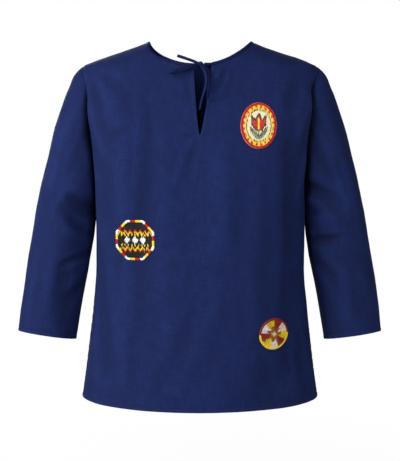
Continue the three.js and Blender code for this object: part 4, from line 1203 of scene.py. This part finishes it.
THREAD_SOCKETS = (("Length", "NodeSocketFloat"), ("Width", "NodeSocketFloat"), ("Height", "NodeSocketFloat"),
                  ("Material", "NodeSocketMaterial"))


def seam_tree():
    """Running stitches along a line: a thread every pitch, along the line."""
    tree, source = stitch_tree("running stitches", (("Pitch", "NodeSocketFloat"), *THREAD_SOCKETS))
    curve = node(tree, "GeometryNodeMeshToCurve", {"Mesh": source.outputs["Geometry"]})
    even = node(tree, "GeometryNodeResampleCurve", {"Curve": curve, "Length": source.outputs["Pitch"]},
                mode="LENGTH")
    tangent = node(tree, "GeometryNodeInputTangent")
    stitch_outputs(tree, even, source, tangent)
    return tree


def fill_tree():
    """Embroidery: a thread on each point, along its own direction and in its own length."""
    tree, source = stitch_tree("embroidery stitches", THREAD_SOCKETS)
    points = node(tree, "GeometryNodeMeshToPoints", {"Mesh": source.outputs["Geometry"], "Radius": 0.0001})
    along = node(tree, "GeometryNodeInputNamedAttribute", {"Name": "along"}, data_type="FLOAT_VECTOR")
    stitch_outputs(tree, points, source, along)
    return tree


def run_nodes(piece, tree, values):
    """Sets the tree's inputs by their identifiers, takes its result as the piece's own mesh and drops the modifier."""
    modifier = piece.modifiers.new("stitches", "NODES")
    modifier.node_group = tree
    for item in tree.interface.items_tree:
        if item.in_out == "INPUT" and item.name in values:
            modifier[item.identifier] = values[item.name]
    depsgraph = bpy.context.evaluated_depsgraph_get()
    made = bpy.data.meshes.new_from_object(piece.evaluated_get(depsgraph), preserve_all_data_layers=True,
                                           depsgraph=depsgraph)
    piece.modifiers.clear()
    piece.data = made
    return piece


def seam_line(name, lines, values, material):
    """Running stitches along several lines, each given as points and the directions that they look in."""
    points = np.concatenate([line for line, _ in lines])
    out = np.concatenate([normals for _, normals in lines])
    edges, start = [], 0
    for line, _ in lines:
        edges += [(k, k + 1) for k in range(start, start + len(line) - 1)]
        start += len(line)
    piece = make_mesh(name, points, [], attributes=(("out", "FLOAT_VECTOR", out),
                                                    ("long", "FLOAT", np.ones(len(points)))), edges=edges)
    return run_nodes(piece, seam_tree(), {**values, "Material": material})


def fill_stitches(name, points, along, out, long, colours, values, material):
    piece = make_mesh(name, points, [], attributes=(
        ("along", "FLOAT_VECTOR", along), ("out", "FLOAT_VECTOR", out), ("long", "FLOAT", long),
        ("thread", "FLOAT_COLOR", np.hstack([colours, np.ones((len(colours), 1))]))))
    return run_nodes(piece, fill_tree(), {**values, "Material": material})


# ---------------------------------------------------------------- the patches' designs
# A tulip for the oval: outlines in shares of the half width and half height, from the middle.
TULIP_CUP = ((-0.4, 0.42), (-0.18, 0.24), (0.0, 0.54), (0.18, 0.24), (0.4, 0.42), (0.37, 0.02), (0.15, -0.2),
             (-0.15, -0.2), (-0.37, 0.02))
TULIP_LEAF = ((0.0, -0.6), (-0.2, -0.46), (-0.42, -0.24), (-0.46, -0.08), (-0.14, -0.3), (0.0, -0.46))
TULIP_LEAVES = (TULIP_LEAF, tuple((-x, y) for x, y in TULIP_LEAF))


def inside(shape, x, y):
    """Whether places lie inside a closed outline."""
    hit = np.zeros(np.shape(x), bool)
    for (x0, y0), (x1, y1) in zip(shape, shape[1:] + shape[:1]):
        crossed = (y0 > y) != (y1 > y)
        hit ^= crossed & (x < (x1 - x0) * (y - y0) / ((y1 - y0) or 1e-9) + x0)
    return hit


def near_outline(shape, x, y, reach):
    return nearest(np.stack([x, y], -1), np.array(shape + shape[:1]))[0] < reach


def tulip_design(u, v, threads):
    """Cream middle with a red tulip and green leaves, in a yellow ring with red beads."""
    colour = np.broadcast_to(threads["cream"], (*u.shape, 3)).copy()
    turn = 0.35 * u
    far = np.hypot(u, v)
    colour[far > 0.66] = threads["black"]
    colour[far > 0.7] = threads["yellow"]
    beads = (np.arctan2(v, u) / (2 * math.pi) * 20) % 1 - 0.5
    colour[np.hypot(beads * 0.5, (far - 0.82) * 2.0) < 0.13] = threads["red"]
    stem = (np.abs(u) < 0.035) & (v < -0.1) & (v > -0.6)
    cup = inside(TULIP_CUP, u, v)
    leaves = inside(TULIP_LEAVES[0], u, v) | inside(TULIP_LEAVES[1], u, v)
    edge = near_outline(TULIP_CUP, u, v, 0.035)
    for leaf in TULIP_LEAVES:
        edge |= near_outline(leaf, u, v, 0.028)
    colour[stem | leaves] = threads["green"]
    colour[cup] = threads["red"]
    colour[cup & (np.abs(u) < 0.05) & (v < 0.3)] = threads["yellow"]
    colour[edge] = threads["black"]
    turn = np.where(cup, 0.5 * u, turn)
    turn = np.where(leaves, -0.8 * np.sign(u), turn)
    return colour, turn


def bands_design(u, v, threads):
    """Black ground with zigzags, a row of plain lozenges and rows of dots."""
    colour = np.broadcast_to(threads["black"], (*u.shape, 3)).copy()
    zigzag = np.abs(((u * 4.0) % 1.0) - 0.5) * 0.3
    for middle, name in ((0.42, "red"), (0.34, "yellow")):
        colour[np.abs(v - middle - zigzag + 0.07) < 0.034] = threads[name]
    for middle, name in ((-0.5, "red"), (-0.42, "yellow")):
        colour[np.abs(v - middle + zigzag - 0.07) < 0.034] = threads[name]
    cell = ((u * 2.5 + 0.5) % 1.0) - 0.5
    # filled and all alike, so that from afar they can't be taken for figures or a face
    colour[(np.abs(cell) + np.abs(v) * 2.1 < 0.4) & (np.abs(u) < 0.6)] = threads["white"]
    dots = np.hypot(((u * 6 + 0.5) % 1.0) - 0.5, (np.abs(v) - 0.245) * 6) < 0.26
    colour[dots & (np.abs(u) < 0.72)] = threads["yellow"]
    return colour, np.zeros(u.shape)


def wheel_design(u, v, threads):
    """Wedges of dark red, yellow and white round an amber flower with a cream middle."""
    turn, far = np.arctan2(v, u), np.hypot(u, v)
    wedge = np.floor((turn / (2 * math.pi) + 0.5) * 9 + 0.25).astype(int) % 3
    colour = np.stack([threads["maroon"], threads["yellow"], threads["white"]])[wedge]
    petals = 0.36 + 0.1 * np.cos(turn * 7)
    colour[far < petals + 0.04] = threads["black"]
    colour[far < petals] = threads["amber"]
    colour[far < 0.15] = threads["cream"]
    return colour, np.where(far < petals, turn + math.pi / 2, turn)


ROWS_APART, ENDS_APART = 0.8, 0.86  # from stitch to stitch in shares of the thread's width and of a stitch's length
STAGGER = 0.37  # how much of a stitch each row starts above the last
DESIGNS = {
    "patch_oval": {"fill": tulip_design, "border": ("red",), "blocks": 1, "band": 5.5, "ground": "cream",
                   "slot": "patch_bright"},
    "patch_octagon": {"fill": bands_design, "border": ("red", "white", "yellow"), "blocks": 24, "band": 5.0,
                      "ground": "black", "slot": "patch_black"},
    "patch_round": {"fill": wheel_design, "border": ("maroon", "yellow"), "blocks": 2, "band": 4.0, "ground": "amber",
                    "slot": "patch_warm"},
}


def outline(patch, turn):
    """The reach of a patch's edge at each turn from its middle: a rounded form, or straight sides with soft corners."""
    wide, high = patch["wide"] / 2, patch["high"] / 2
    if not patch["sides"]:
        return 1 / np.hypot(np.cos(turn) / wide, np.sin(turn) / high)
    spans = [np.abs(np.cos(turn)) / wide, np.abs(np.sin(turn)) / high,
             (np.abs(np.cos(turn)) / wide + np.abs(np.sin(turn)) / high) * math.cos(math.pi / 4)]
    return 1 / sum(span ** 44 for span in spans) ** (1 / 44)


def patch_places(name, turn, share):
    """Flat places on the front at shares of the way from a patch's middle to its edge."""
    patch = PATCHES[name]
    reach = outline(patch, turn) * share
    sign = 1 if patch["x"] > 0 else -1
    x = patch["x"] + reach * np.cos(turn)
    z = patch["z"] + reach * np.sin(turn)
    return np.stack([around_at("front", np.abs(x), z) * sign, z], -1)


def patch_surface(places, cloth):
    """The front's own outer skin under a patch, and the directions it looks in."""
    sign = np.sign(places[..., 0].mean())
    free = 1 - PATCH_HOLD * patch_cover(places * (sign, 1), sign)
    height = soft_height(BODY_FOLDS["front"], CREASES["front"], BODY_WAVES, SEEDS["front"], places, free, cloth)
    points, normals = body_point("front", places[..., 0], places[..., 1])
    return points + normals * height[..., None], normals


# ---------------------------------------------------------------- sizes and colours
def length_property(name, description, default, low, high):
    return bpy.props.FloatProperty(name=name, description=description, default=default, min=low, max=high,
                                   unit="LENGTH", precision=4)


def colour_property(name, description, code):
    return bpy.props.FloatVectorProperty(name=name, description=description, default=linear(code), min=0.0, max=1.0,
                                         size=3, subtype="COLOR")


def share_property(name, description, default, high):
    return bpy.props.FloatProperty(name=name, description=description, default=default, min=0.0, max=high,
                                   subtype="FACTOR")


def power_property(name, description, default):
    return bpy.props.FloatProperty(name=name, description=description, default=default, min=0.0, unit="POWER")


class SmockCloth(bpy.types.PropertyGroup):
    """The cotton of the front, back and sleeves."""
    cell: length_property("Cell", "Size of one cell of the cloth", 0.0040, 0.002, 0.02)
    thickness: length_property("Thickness", "Thickness of a single layer", 0.0010, 0.0004, 0.003)
    seam_roll: length_property("Seam Roll", "How deep the sewn seams sink", 0.0013, 0.0, 0.003)
    armhole_fold: share_property("Armhole Fold", "Share of the full fold where a sleeve hangs from the body", 1.0, 1.2)
    hem_depth: length_property("Hem Depth", "Height of the stitched hems", 0.007, 0.003, 0.03)
    crease_strength: share_property("Crease Strength", "Share of the creases' full depth", 1.0, 2.0)
    weave: length_property("Weave", "Width of one drawn thread", 0.0008, 0.0002, 0.005)
    colour: colour_property("Colour", "Navy of the dyed cotton", "#14214f")
    # also the colour towards which the painted light on the chest's middle turns the cloth
    faded: colour_property("Faded", "Where folds and edges are rubbed", "#1b2b5f")
    # the colour of painted shade: armhole folds, the sleeves' inner sides and the hollows of the cloth
    deep: colour_property("Deep", "Where the dye is densest", "#0f193e")


class SmockTie(bpy.types.PropertyGroup):
    """The tape that ties the neck slit."""
    width: length_property("Width", "Width of the tape", 0.0056, 0.002, 0.012)
    thickness: length_property("Thickness", "Thickness of the folded tape", 0.0016, 0.0005, 0.004)
    colour: colour_property("Colour", "Navy of the tape", "#0c1546")
    faded: colour_property("Faded", "Where the tape is rubbed", "#141f55")
    deep: colour_property("Deep", "In the folds of the tape", "#060a2a")


class SmockTrim(bpy.types.PropertyGroup):
    """Stitches that hold the hems, the slit and the binding."""
    pitch: length_property("Pitch", "From one stitch to the next", 0.0030, 0.001, 0.01)
    length: length_property("Length", "Length of the thread that shows", 0.0024, 0.0005, 0.01)
    width: length_property("Width", "Width of the thread", 0.00045, 0.0001, 0.002)
    colour: colour_property("Colour", "Navy of the sewing thread", "#1a264f")


class SmockPatches(bpy.types.PropertyGroup):
    """The three embroidered patches."""
    lift: length_property("Lift", "Gap between the cloth and a patch", 0.0004, 0.0, 0.002)
    plate: length_property("Plate", "Thickness of a patch's backing", 0.0009, 0.0004, 0.003)
    thread: length_property("Thread", "Width of one satin stitch", 0.0011, 0.0005, 0.003)
    stitch: length_property("Stitch", "Length of a filling stitch", 0.0046, 0.002, 0.01)
    red: colour_property("Red", "Red thread", "#c60d12")
    maroon: colour_property("Maroon", "Dark red thread", "#8c1019")
    yellow: colour_property("Yellow", "Yellow thread", "#fbdb1a")
    amber: colour_property("Amber", "Brown thread", "#ad5f22")
    cream: colour_property("Cream", "Cream thread", "#f4e9c6")
    white: colour_property("White", "White thread", "#fbfaf6")
    green: colour_property("Green", "Green thread", "#3d6b3a")
    black: colour_property("Black", "Black thread", "#08080b")


class SmockStage(bpy.types.PropertyGroup):
    """The floor and lights."""
    floor_depth: length_property("Floor", "How far the floor lies below the origin", 0.95, 0.71, 3.0)
    floor_radius: length_property("Floor Radius", "Radius of the floor", 3.2, 1.0, 10.0)
    key: power_property("Key", "Power of the light from the left", 43.0)
    fill: power_property("Fill", "Power of the light from the front", 29.0)
    high: power_property("High", "Power of the light from above", 31.0)
    rim: power_property("Rim", "Power of the light from the right", 5.0)
    back: power_property("Back", "Power of the light behind", 90.0)
    room: share_property("Room", "Strength of the light all round", 0.1, 2.0)
    white: colour_property("White", "The pale background", "#ffffff")


# The lamps: the property that holds the power, the size and the place, in metres, and where they all point.
LAMPS = (("key", 1.0, (-2.15, -1.0, -0.3)), ("fill", 1.6, (0.9, -2.1, -0.1)), ("high", 1.0, (-1.4, -1.6, 1.0)),
         ("rim", 1.4, (2.3, 0.1, -0.1)), ("back", 2.4, (-0.8, 3.0, 0.6)))
LAMPS_AIM = (0, 0, -0.35)
CAMERA = {"lens": 84.53, "place": (0.0, -2.150, -0.120), "tilt": 83.32}
FLOOR_SIDES = 96
GROUPS = (("smock_cloth", SmockCloth), ("smock_tie", SmockTie), ("smock_trim", SmockTrim),
          ("smock_patches", SmockPatches), ("smock_stage", SmockStage))


def belongs(piece, slot, nodes=()):
    """Puts a finished piece on the garment's one body, in place of the solids it stands for; its paint slot is not
    used.
    """
    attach(piece, "root")
    if nodes:
        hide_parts(*nodes)
    return piece


def made_once(name, make):
    return bpy.data.materials.get(name) or make(name)


def smock_cotton(cloth):
    return made_once("navy plain-weave cotton", lambda name: woven_cotton(
        name, tuple(cloth.colour), tuple(cloth.faded), tuple(cloth.deep), cloth.weave / MM))


def tape_cotton(tie):
    return made_once("navy cotton tape", lambda name: woven_cotton(
        name, tuple(tie.colour), tuple(tie.faded), tuple(tie.deep), 0.7, 0.8, bloom=0.012))


# ---------------------------------------------------------------- the pieces
class SMOCK_OT_camera(bpy.types.Operator):
    """Add the camera that looks at the front"""
    bl_idname = "smock.camera"
    bl_label = "Camera"

    def execute(self, context):
        data = bpy.data.cameras.new("camera")
        data.lens = CAMERA["lens"]
        data.sensor_width = 36.0
        data.clip_end = 50.0
        camera = bpy.data.objects.new("camera", data)
        camera.location = CAMERA["place"]
        camera.rotation_euler = (math.radians(CAMERA["tilt"]), 0.0, 0.0)
        context.scene.collection.objects.link(camera)
        context.scene.camera = camera
        camera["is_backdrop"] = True
        return {"FINISHED"}


class SMOCK_OT_tie(bpy.types.Operator):
    """Add the knotted tape of the neck slit: knot, short ends in the binding, two loops and two free ends"""
    bl_idname = "smock.tie"
    bl_label = "Tie"

    def execute(self, context):
        tie = context.scene.smock_tie
        width, thick = tie.width / MM, tie.thickness / MM
        cotton = tape_cotton(tie)
        for name, far_end, wide_start, wide_end, route in TIES:
            piece, line, length = tape(name + "_tape", route, wide_start, wide_end, width, thick, cotton,
                                       folded_end=far_end == "bare")
            belongs(piece, "binding_cloth", [name])
        for name, wide_start, wide_end, route in ROOTS:
            piece, _, _ = tape(name + "_tape", route, wide_start, wide_end, width - 0.4, thick, cotton)
            belongs(piece, "binding_cloth", [name])
        belongs(knot_lump("knot_core", cotton), "binding_cloth", ["tie_knot"])
        # the tape that goes once round the middle of the knot, a little askew
        turns = full_turn(28)
        centre, (_, deep, high) = np.array(KNOT["centre"]), KNOT["radii"]
        section = np.array(TAPE_SECTION) * (5.4, 1.1)
        ways = np.stack([0.18 * np.sin(turns), np.cos(turns), np.sin(turns)], -1)
        rings = (centre + (ways * (1, deep - 0.35, high - 0.35))[:, None]
                 + np.array([1.0, 0, 0.16]) * section[None, :, :1] * (1 - 0.12 * np.cos(turns))[:, None, None]
                 + ways[:, None] * section[None, :, 1:])
        place = paired((turns * 4.4)[:, None], section[None, :, 0])
        band = sweep("knot_band", rings, place, cotton, closed=True, rub=0.35)
        belongs(band, "binding_cloth")
        return {"FINISHED"}


class SMOCK_OT_body(bpy.types.Operator):
    """Add the front, with its slit, and the back"""
    bl_idname = "smock.body"
    bl_label = "Front and Back"

    def execute(self, context):
        cloth = context.scene.smock_cloth
        cotton = smock_cotton(cloth)
        for face in ("front", "back"):
            halves = cloth_grids(face, cloth)
            points, quads = join_halves(face, halves)
            piece = wall(face + "_cloth", points["outer"], points["inner"], quads, points["flat"], points["rub"],
                         cotton)
            belongs(piece, "smock_cloth", [face])
            # the cut's longest run, over the bust or back from the neck end of the shoulder to the hem
            width = 2 * float(girth(face, HEM)[0])
            height = max(float(lengths(half["outer"], 0)[-1].max()) for half in halves.values())
            # and its area, from the smooth form before folds and creases lengthen it
            area = sum(grid_area(body_point(face, half["flat"][..., 0], half["flat"][..., 1])[0])
                       for half in halves.values())
        return {"FINISHED"}


def grid_area(points):
    across, up = np.diff(points, axis=1)[:-1], np.diff(points, axis=0)[:, :-1]
    return float(np.linalg.norm(np.cross(across, up), axis=-1).sum()) * MM * MM


class SMOCK_OT_sleeves(bpy.types.Operator):
    """Add both sleeves"""
    bl_idname = "smock.sleeves"
    bl_label = "Sleeves"

    def execute(self, context):
        cloth = context.scene.smock_cloth
        cotton = smock_cotton(cloth)
        for side in ("left", "right"):
            grid = cloth_grids(side, cloth)
            index = np.arange(grid["rub"].size).reshape(grid["rub"].shape)
            piece = wall(f"sleeve_{side}_cloth", grid["outer"].reshape(-1, 3), grid["inner"].reshape(-1, 3),
                         grid_quads(index, side == "left"), grid["flat"].reshape(-1, 2),
                         grid["rub"].ravel(), cotton)
            belongs(piece, "smock_cloth", [f"sleeve_{side}"])
            smooth = sleeve_point(grid["flat"][..., 0] / SLEEVE_ROUND, grid["flat"][..., 1])[0]
            long = float(lengths(grid["outer"], 0)[-1].max())
            around = sleeve_point(np.linspace(-math.pi, math.pi, 200), np.full(200, UNDERARM))[0]
            wide = float(lengths(around[None], 1)[0, -1])
            grid_area(smooth)
        return {"FINISHED"}


class SMOCK_OT_binding(bpy.types.Operator):
    """Add the folded binding of the neck edge"""
    bl_idname = "smock.binding"
    bl_label = "Neck Binding"

    def execute(self, context):
        tie = context.scene.smock_tie
        line, out, down = neck_edge()
        rings, place = binding_rings(line, out, down)
        rub = np.broadcast_to(dip(np.array(BINDING_SECTION)[:, 0] + 1.0, 1.5)[None], rings.shape[:2]).ravel()
        piece = sweep("neck_binding_tape", rings, place, tape_cotton(tie), rub=rub)
        belongs(piece, "binding_cloth", ["neck_binding"])
        # what shows of the strip: half the way round its folded section, and the whole neck edge
        section = np.array(BINDING_SECTION + BINDING_SECTION[:1])
        wide, long = lengths(section[None], 1)[0, -1] / 2, lengths(line[None], 1)[0, -1]
        return {"FINISHED"}


class SMOCK_OT_patches(bpy.types.Operator):
    """Add the three embroidered patches on the front"""
    bl_idname = "smock.patches"
    bl_label = "Patches"

    def execute(self, context):
        cloth, group = context.scene.smock_cloth, context.scene.smock_patches
        names = ("red", "maroon", "yellow", "amber", "cream", "white", "green", "black")
        threads = {name: np.array(getattr(group, name)) for name in names}
        thread = made_once("polyester embroidery thread", embroidery_thread)
        for name, design in DESIGNS.items():
            self.plate(name, design, threads, cloth, group)
            self.fill(name, design, threads, cloth, group, thread)
            self.border(name, design, threads, cloth, group, thread)
        return {"FINISHED"}

    @staticmethod
    def plate(name, design, threads, cloth, group):
        """The backing: a thin plate that follows the front, with a rounded edge."""
        turns = full_turn(120)
        shares = np.array([0.02, 0.2, 0.4, 0.6, 0.78, 0.9, 0.97, 1.0])
        lift, thick = group.lift / MM, group.plate / MM
        skins = []
        for height, order in ((lift, shares), (lift + thick, shares[::-1] - 0.004)):
            places = patch_places(name, turns[None, :], order[:, None])
            points, normals = patch_surface(places, cloth)
            skins.append((points + normals * height, places))
        rings = np.concatenate([points for points, _ in skins])
        place = np.concatenate([places for _, places in skins]).reshape(-1, 2)
        twill = patch_twill(name + " twill", tuple(threads[design["ground"]]))
        piece = sweep(name + "_backing", rings, place, twill)
        belongs(piece, design["slot"], [name])

    @staticmethod
    def fill(name, design, threads, cloth, group, thread):
        """Rows of satin stitches over the backing, each in the colour and direction of the motif under it."""
        patch = PATCHES[name]
        width, long = group.thread / MM, group.stitch / MM
        rng = np.random.default_rng(len(name) * 7)
        across = np.arange(-patch["wide"] / 2, patch["wide"] / 2, width * ROWS_APART)
        up = np.arange(-patch["high"] / 2, patch["high"] / 2, long * ENDS_APART)
        x, z = np.meshgrid(across, up)
        # each row starts at its own height, as laid stitches do
        z = z + (np.arange(len(across)) * STAGGER % 1 * long)[None] + rng.uniform(-0.25, 0.25, x.shape)
        x = x + rng.uniform(-0.08, 0.08, x.shape)
        turn, far = np.arctan2(z, x), np.hypot(x, z)
        keep = far < outline(patch, turn) - design["band"] * 0.8
        x, z = x[keep], z[keep]
        u, v = x / (patch["wide"] / 2), z / (patch["high"] / 2)
        colours, lean = design["fill"](u, v, threads)
        colours = colours * (1 + rng.uniform(-0.09, 0.07, (len(x), 1)))
        sign = 1 if patch["x"] > 0 else -1

        def at(dx, dz):
            return np.stack([around_at("front", np.abs(patch["x"] + x + dx), patch["z"] + z + dz) * sign,
                             patch["z"] + z + dz], -1)

        points, normals = patch_surface(at(0, 0), cloth)
        ahead, _ = patch_surface(at(np.sin(lean) * 1.0, np.cos(lean) * 1.0), cloth)
        height = group.lift / MM + group.plate / MM + 0.1 + rng.uniform(0, 0.08, len(x))
        piece = fill_stitches(name + "_motif", points + normals * height[:, None], unit(ahead - points), normals,
                              rng.uniform(0.92, 1.12, len(x)), colours,
                              {"Length": group.stitch * 1.12, "Width": group.thread, "Height": group.thread * 0.5},
                              thread)
        belongs(piece, design["slot"])

    @staticmethod
    def border(name, design, threads, cloth, group, thread):
        """A raised satin border: close stitches across the edge band, arched over it."""
        patch = PATCHES[name]
        band = design["band"]
        turns = full_turn(1440)
        edge = outline(patch, turns)
        loop = np.stack([edge * np.cos(turns), edge * np.sin(turns)], -1)
        along_edge = run_length(np.vstack([loop, loop[:1]]))
        count = round(along_edge[-1] / (group.thread / MM * 0.72))
        turn = np.interp(np.linspace(0, 1, count, endpoint=False), along_edge[:-1] / along_edge[-1], turns)
        rng = np.random.default_rng(len(name) * 13)
        block = (np.arange(count) * design["blocks"] // count) % len(design["border"])
        colours = np.stack([threads[dye] for dye in design["border"]])[block]
        colours = colours * (1 + rng.uniform(-0.08, 0.06, (count, 1)))
        reach = outline(patch, turn)
        parts = []
        # three short lengths make one arched stitch: rising, over the top and falling
        for offset, lift, tip in ((band * 0.82, 0.15, 0.5), (band * 0.5, 0.42, 0.0), (band * 0.18, 0.15, -0.5)):
            places = patch_places(name, turn, (reach - offset) / reach)
            inner = patch_places(name, turn, (reach - offset - 0.5) / reach)
            points, normals = patch_surface(places, cloth)
            back, _ = patch_surface(inner, cloth)
            along = unit(unit(points - back) + normals * tip)
            parts.append((points + normals * (group.lift / MM + group.plate / MM + lift), along, normals))
        points, along, out = (np.concatenate([part[k] for part in parts]) for k in range(3))
        piece = fill_stitches(name + "_border", points, along, out, np.ones(len(points)), np.tile(colours, (3, 1)),
                              {"Length": band * 0.46 * MM, "Width": group.thread * 0.95,
                               "Height": group.thread * 0.6}, thread)
        belongs(piece, design["slot"])


class SMOCK_OT_stitching(bpy.types.Operator):
    """Add the running stitches of hems, cuffs, slit and binding"""
    bl_idname = "smock.stitching"
    bl_label = "Stitching"

    def execute(self, context):
        cloth, trim = context.scene.smock_cloth, context.scene.smock_trim
        colour = tuple(trim.colour)
        thread = made_once("navy polyester sewing thread", lambda name: sewing_thread(name, colour))
        sizes = {"Pitch": trim.pitch, "Length": trim.length, "Width": trim.width, "Height": trim.width * 0.8}
        hem_depth = cloth.hem_depth / MM
        hems, cuffs = [], []
        for face in ("front", "back"):
            for half in cloth_grids(face, cloth).values():
                hems.append(trace(half, half["from_hem"], hem_depth))
        for side in ("left", "right"):
            grid = cloth_grids(side, cloth)
            cuffs.append(trace(grid, grid["from_hem"], hem_depth))
        belongs(seam_line("hem_stitches", hems, sizes, thread), "smock_cloth")
        belongs(seam_line("cuff_stitches", cuffs, sizes, thread), "smock_cloth")
        belongs(seam_line("slit_stitches", [on_panel("front", self.slit_path(SLIT_FACING), cloth)], sizes, thread),
                "smock_cloth")
        line, out, down = neck_edge()
        below, off = BINDING_STITCH
        sewn = [(line + down * below + out * off, out)]
        belongs(seam_line("binding_stitches", sewn, sizes, thread), "binding_cloth")
        return {"FINISHED"}

    @staticmethod
    def slit_path(away):
        """The flat line at a distance from the slit's edge: down its left side, round its end and up the right."""
        z = np.linspace(-NECK["front_drop"] - 1, SLIT["end"], 60)
        sides = []
        for line, sign in ((slit_line("left", z) * (-1, 1), -1), (slit_line("right", z)[::-1], 1)):
            run = unit(np.gradient(line, axis=0))
            aside = np.stack([run[:, 1], -run[:, 0]], -1)
            sides.append(line + aside * np.where(aside[:, :1] * sign > 0, 1, -1) * away)
        start = sides[0][-1] - (0, SLIT["end"])
        end = sides[1][0] - (0, SLIT["end"])
        first, last = math.atan2(start[1], start[0]), math.atan2(end[1], end[0])
        turns = np.linspace(first, first + (last - first) % (2 * math.pi), 14)[1:-1]
        bend = np.stack([np.cos(turns), np.sin(turns)], -1) * away + (0, SLIT["end"])
        return np.concatenate([sides[0], bend, sides[1]])


class SMOCK_OT_stage(bpy.types.Operator):
    """Add the pale floor and the soft lights"""
    bl_idname = "smock.stage"
    bl_label = "Stage"

    def execute(self, context):
        stage = context.scene.smock_stage
        scene = context.scene
        turns = full_turn(FLOOR_SIDES)
        radius = stage.floor_radius / MM
        points = np.stack([np.cos(turns) * radius, np.sin(turns) * radius,
                           np.full(FLOOR_SIDES, -stage.floor_depth / MM)], -1)
        floor = make_mesh("floor", points, [tuple(range(FLOOR_SIDES))], material=self.floor_paint(stage))
        floor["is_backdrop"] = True
        for name, size, location in LAMPS:
            data = bpy.data.lights.new(name, "AREA")
            data.energy, data.size = getattr(stage, name), size
            lamp = bpy.data.objects.new(name, data)
            lamp.location = location
            lamp.rotation_euler = (Vector(LAMPS_AIM) - Vector(location)).to_track_quat("-Z", "Y").to_euler()
            scene.collection.objects.link(lamp)
            lamp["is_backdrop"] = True
        world = bpy.data.worlds.new("room")
        world.use_nodes = True
        tree = world.node_tree
        tree.nodes.clear()
        seen = node(tree, "ShaderNodeLightPath").outputs["Is Camera Ray"]
        strength = node(tree, "ShaderNodeMath", {0: seen, 1: 1.0 - stage.room, 2: stage.room},
                        operation="MULTIPLY_ADD")
        light = node(tree, "ShaderNodeBackground", {"Color": (*stage.white, 1), "Strength": strength})
        node(tree, "ShaderNodeOutputWorld", {"Surface": light})
        scene.world = world
        scene.view_settings.view_transform = "Standard"
        return {"FINISHED"}

    @staticmethod
    def floor_paint(stage):
        """Seamless paper: white and matt in the middle, as bright as the background towards its edge."""
        material, tree = new_material("white paper floor")
        place = node(tree, "ShaderNodeTexCoord").outputs["Object"]
        far = node(tree, "ShaderNodeVectorMath", {0: place}, operation="LENGTH").outputs["Value"]
        share = node(tree, "ShaderNodeMath", {0: far, 1: stage.floor_radius}, operation="DIVIDE")
        fade = node(tree, "ShaderNodeValToRGB", {"Fac": share}, stops=((0.1, (0.8, 0.8, 0.8)), (0.4, (1, 1, 1))))
        paper = node(tree, "ShaderNodeBsdfDiffuse", {"Color": (*linear("#fbfbfb"), 1)})
        seen = node(tree, "ShaderNodeLightPath").outputs["Is Camera Ray"]
        glow = node(tree, "ShaderNodeEmission", {"Color": (*stage.white, 1), "Strength": seen})
        mixed = node(tree, "ShaderNodeMixShader", {0: fade, 1: paper, 2: glow})
        node(tree, "ShaderNodeOutputMaterial", {"Surface": mixed})
        return material


OPERATORS = (SMOCK_OT_camera, SMOCK_OT_tie, SMOCK_OT_body, SMOCK_OT_sleeves, SMOCK_OT_binding, SMOCK_OT_patches,
             SMOCK_OT_stitching, SMOCK_OT_stage)


class SMOCK_PT_panel(bpy.types.Panel):
    """Lists the pieces and the sizes they are made to"""
    bl_idname = "SMOCK_PT_panel"
    bl_label = "Farmer's Smock"
    bl_space_type = "VIEW_3D"
    bl_region_type = "UI"
    bl_category = "Smock"

    def draw(self, context):
        for operator in OPERATORS:
            self.layout.operator(operator.bl_idname)
        for name, group in GROUPS:
            box = self.layout.box()
            for key in group.__annotations__:
                box.prop(getattr(context.scene, name), key)


CLASSES = (*(group for _, group in GROUPS), *OPERATORS, SMOCK_PT_panel)


def register():
    for made in CLASSES:
        bpy.utils.register_class(made)
    for name, group in GROUPS:
        setattr(bpy.types.Scene, name, bpy.props.PointerProperty(type=group))


def unregister():
    for name, _ in GROUPS:
        delattr(bpy.types.Scene, name)
    for made in reversed(CLASSES):
        bpy.utils.unregister_class(made)


def corners():
    return [list(corner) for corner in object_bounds()]


def main():
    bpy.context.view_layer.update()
    register()
    for operator in OPERATORS:
        area, name = operator.bl_idname.split(".")
        getattr(getattr(bpy.ops, area), name)()


if __name__ == "__main__":
    main()
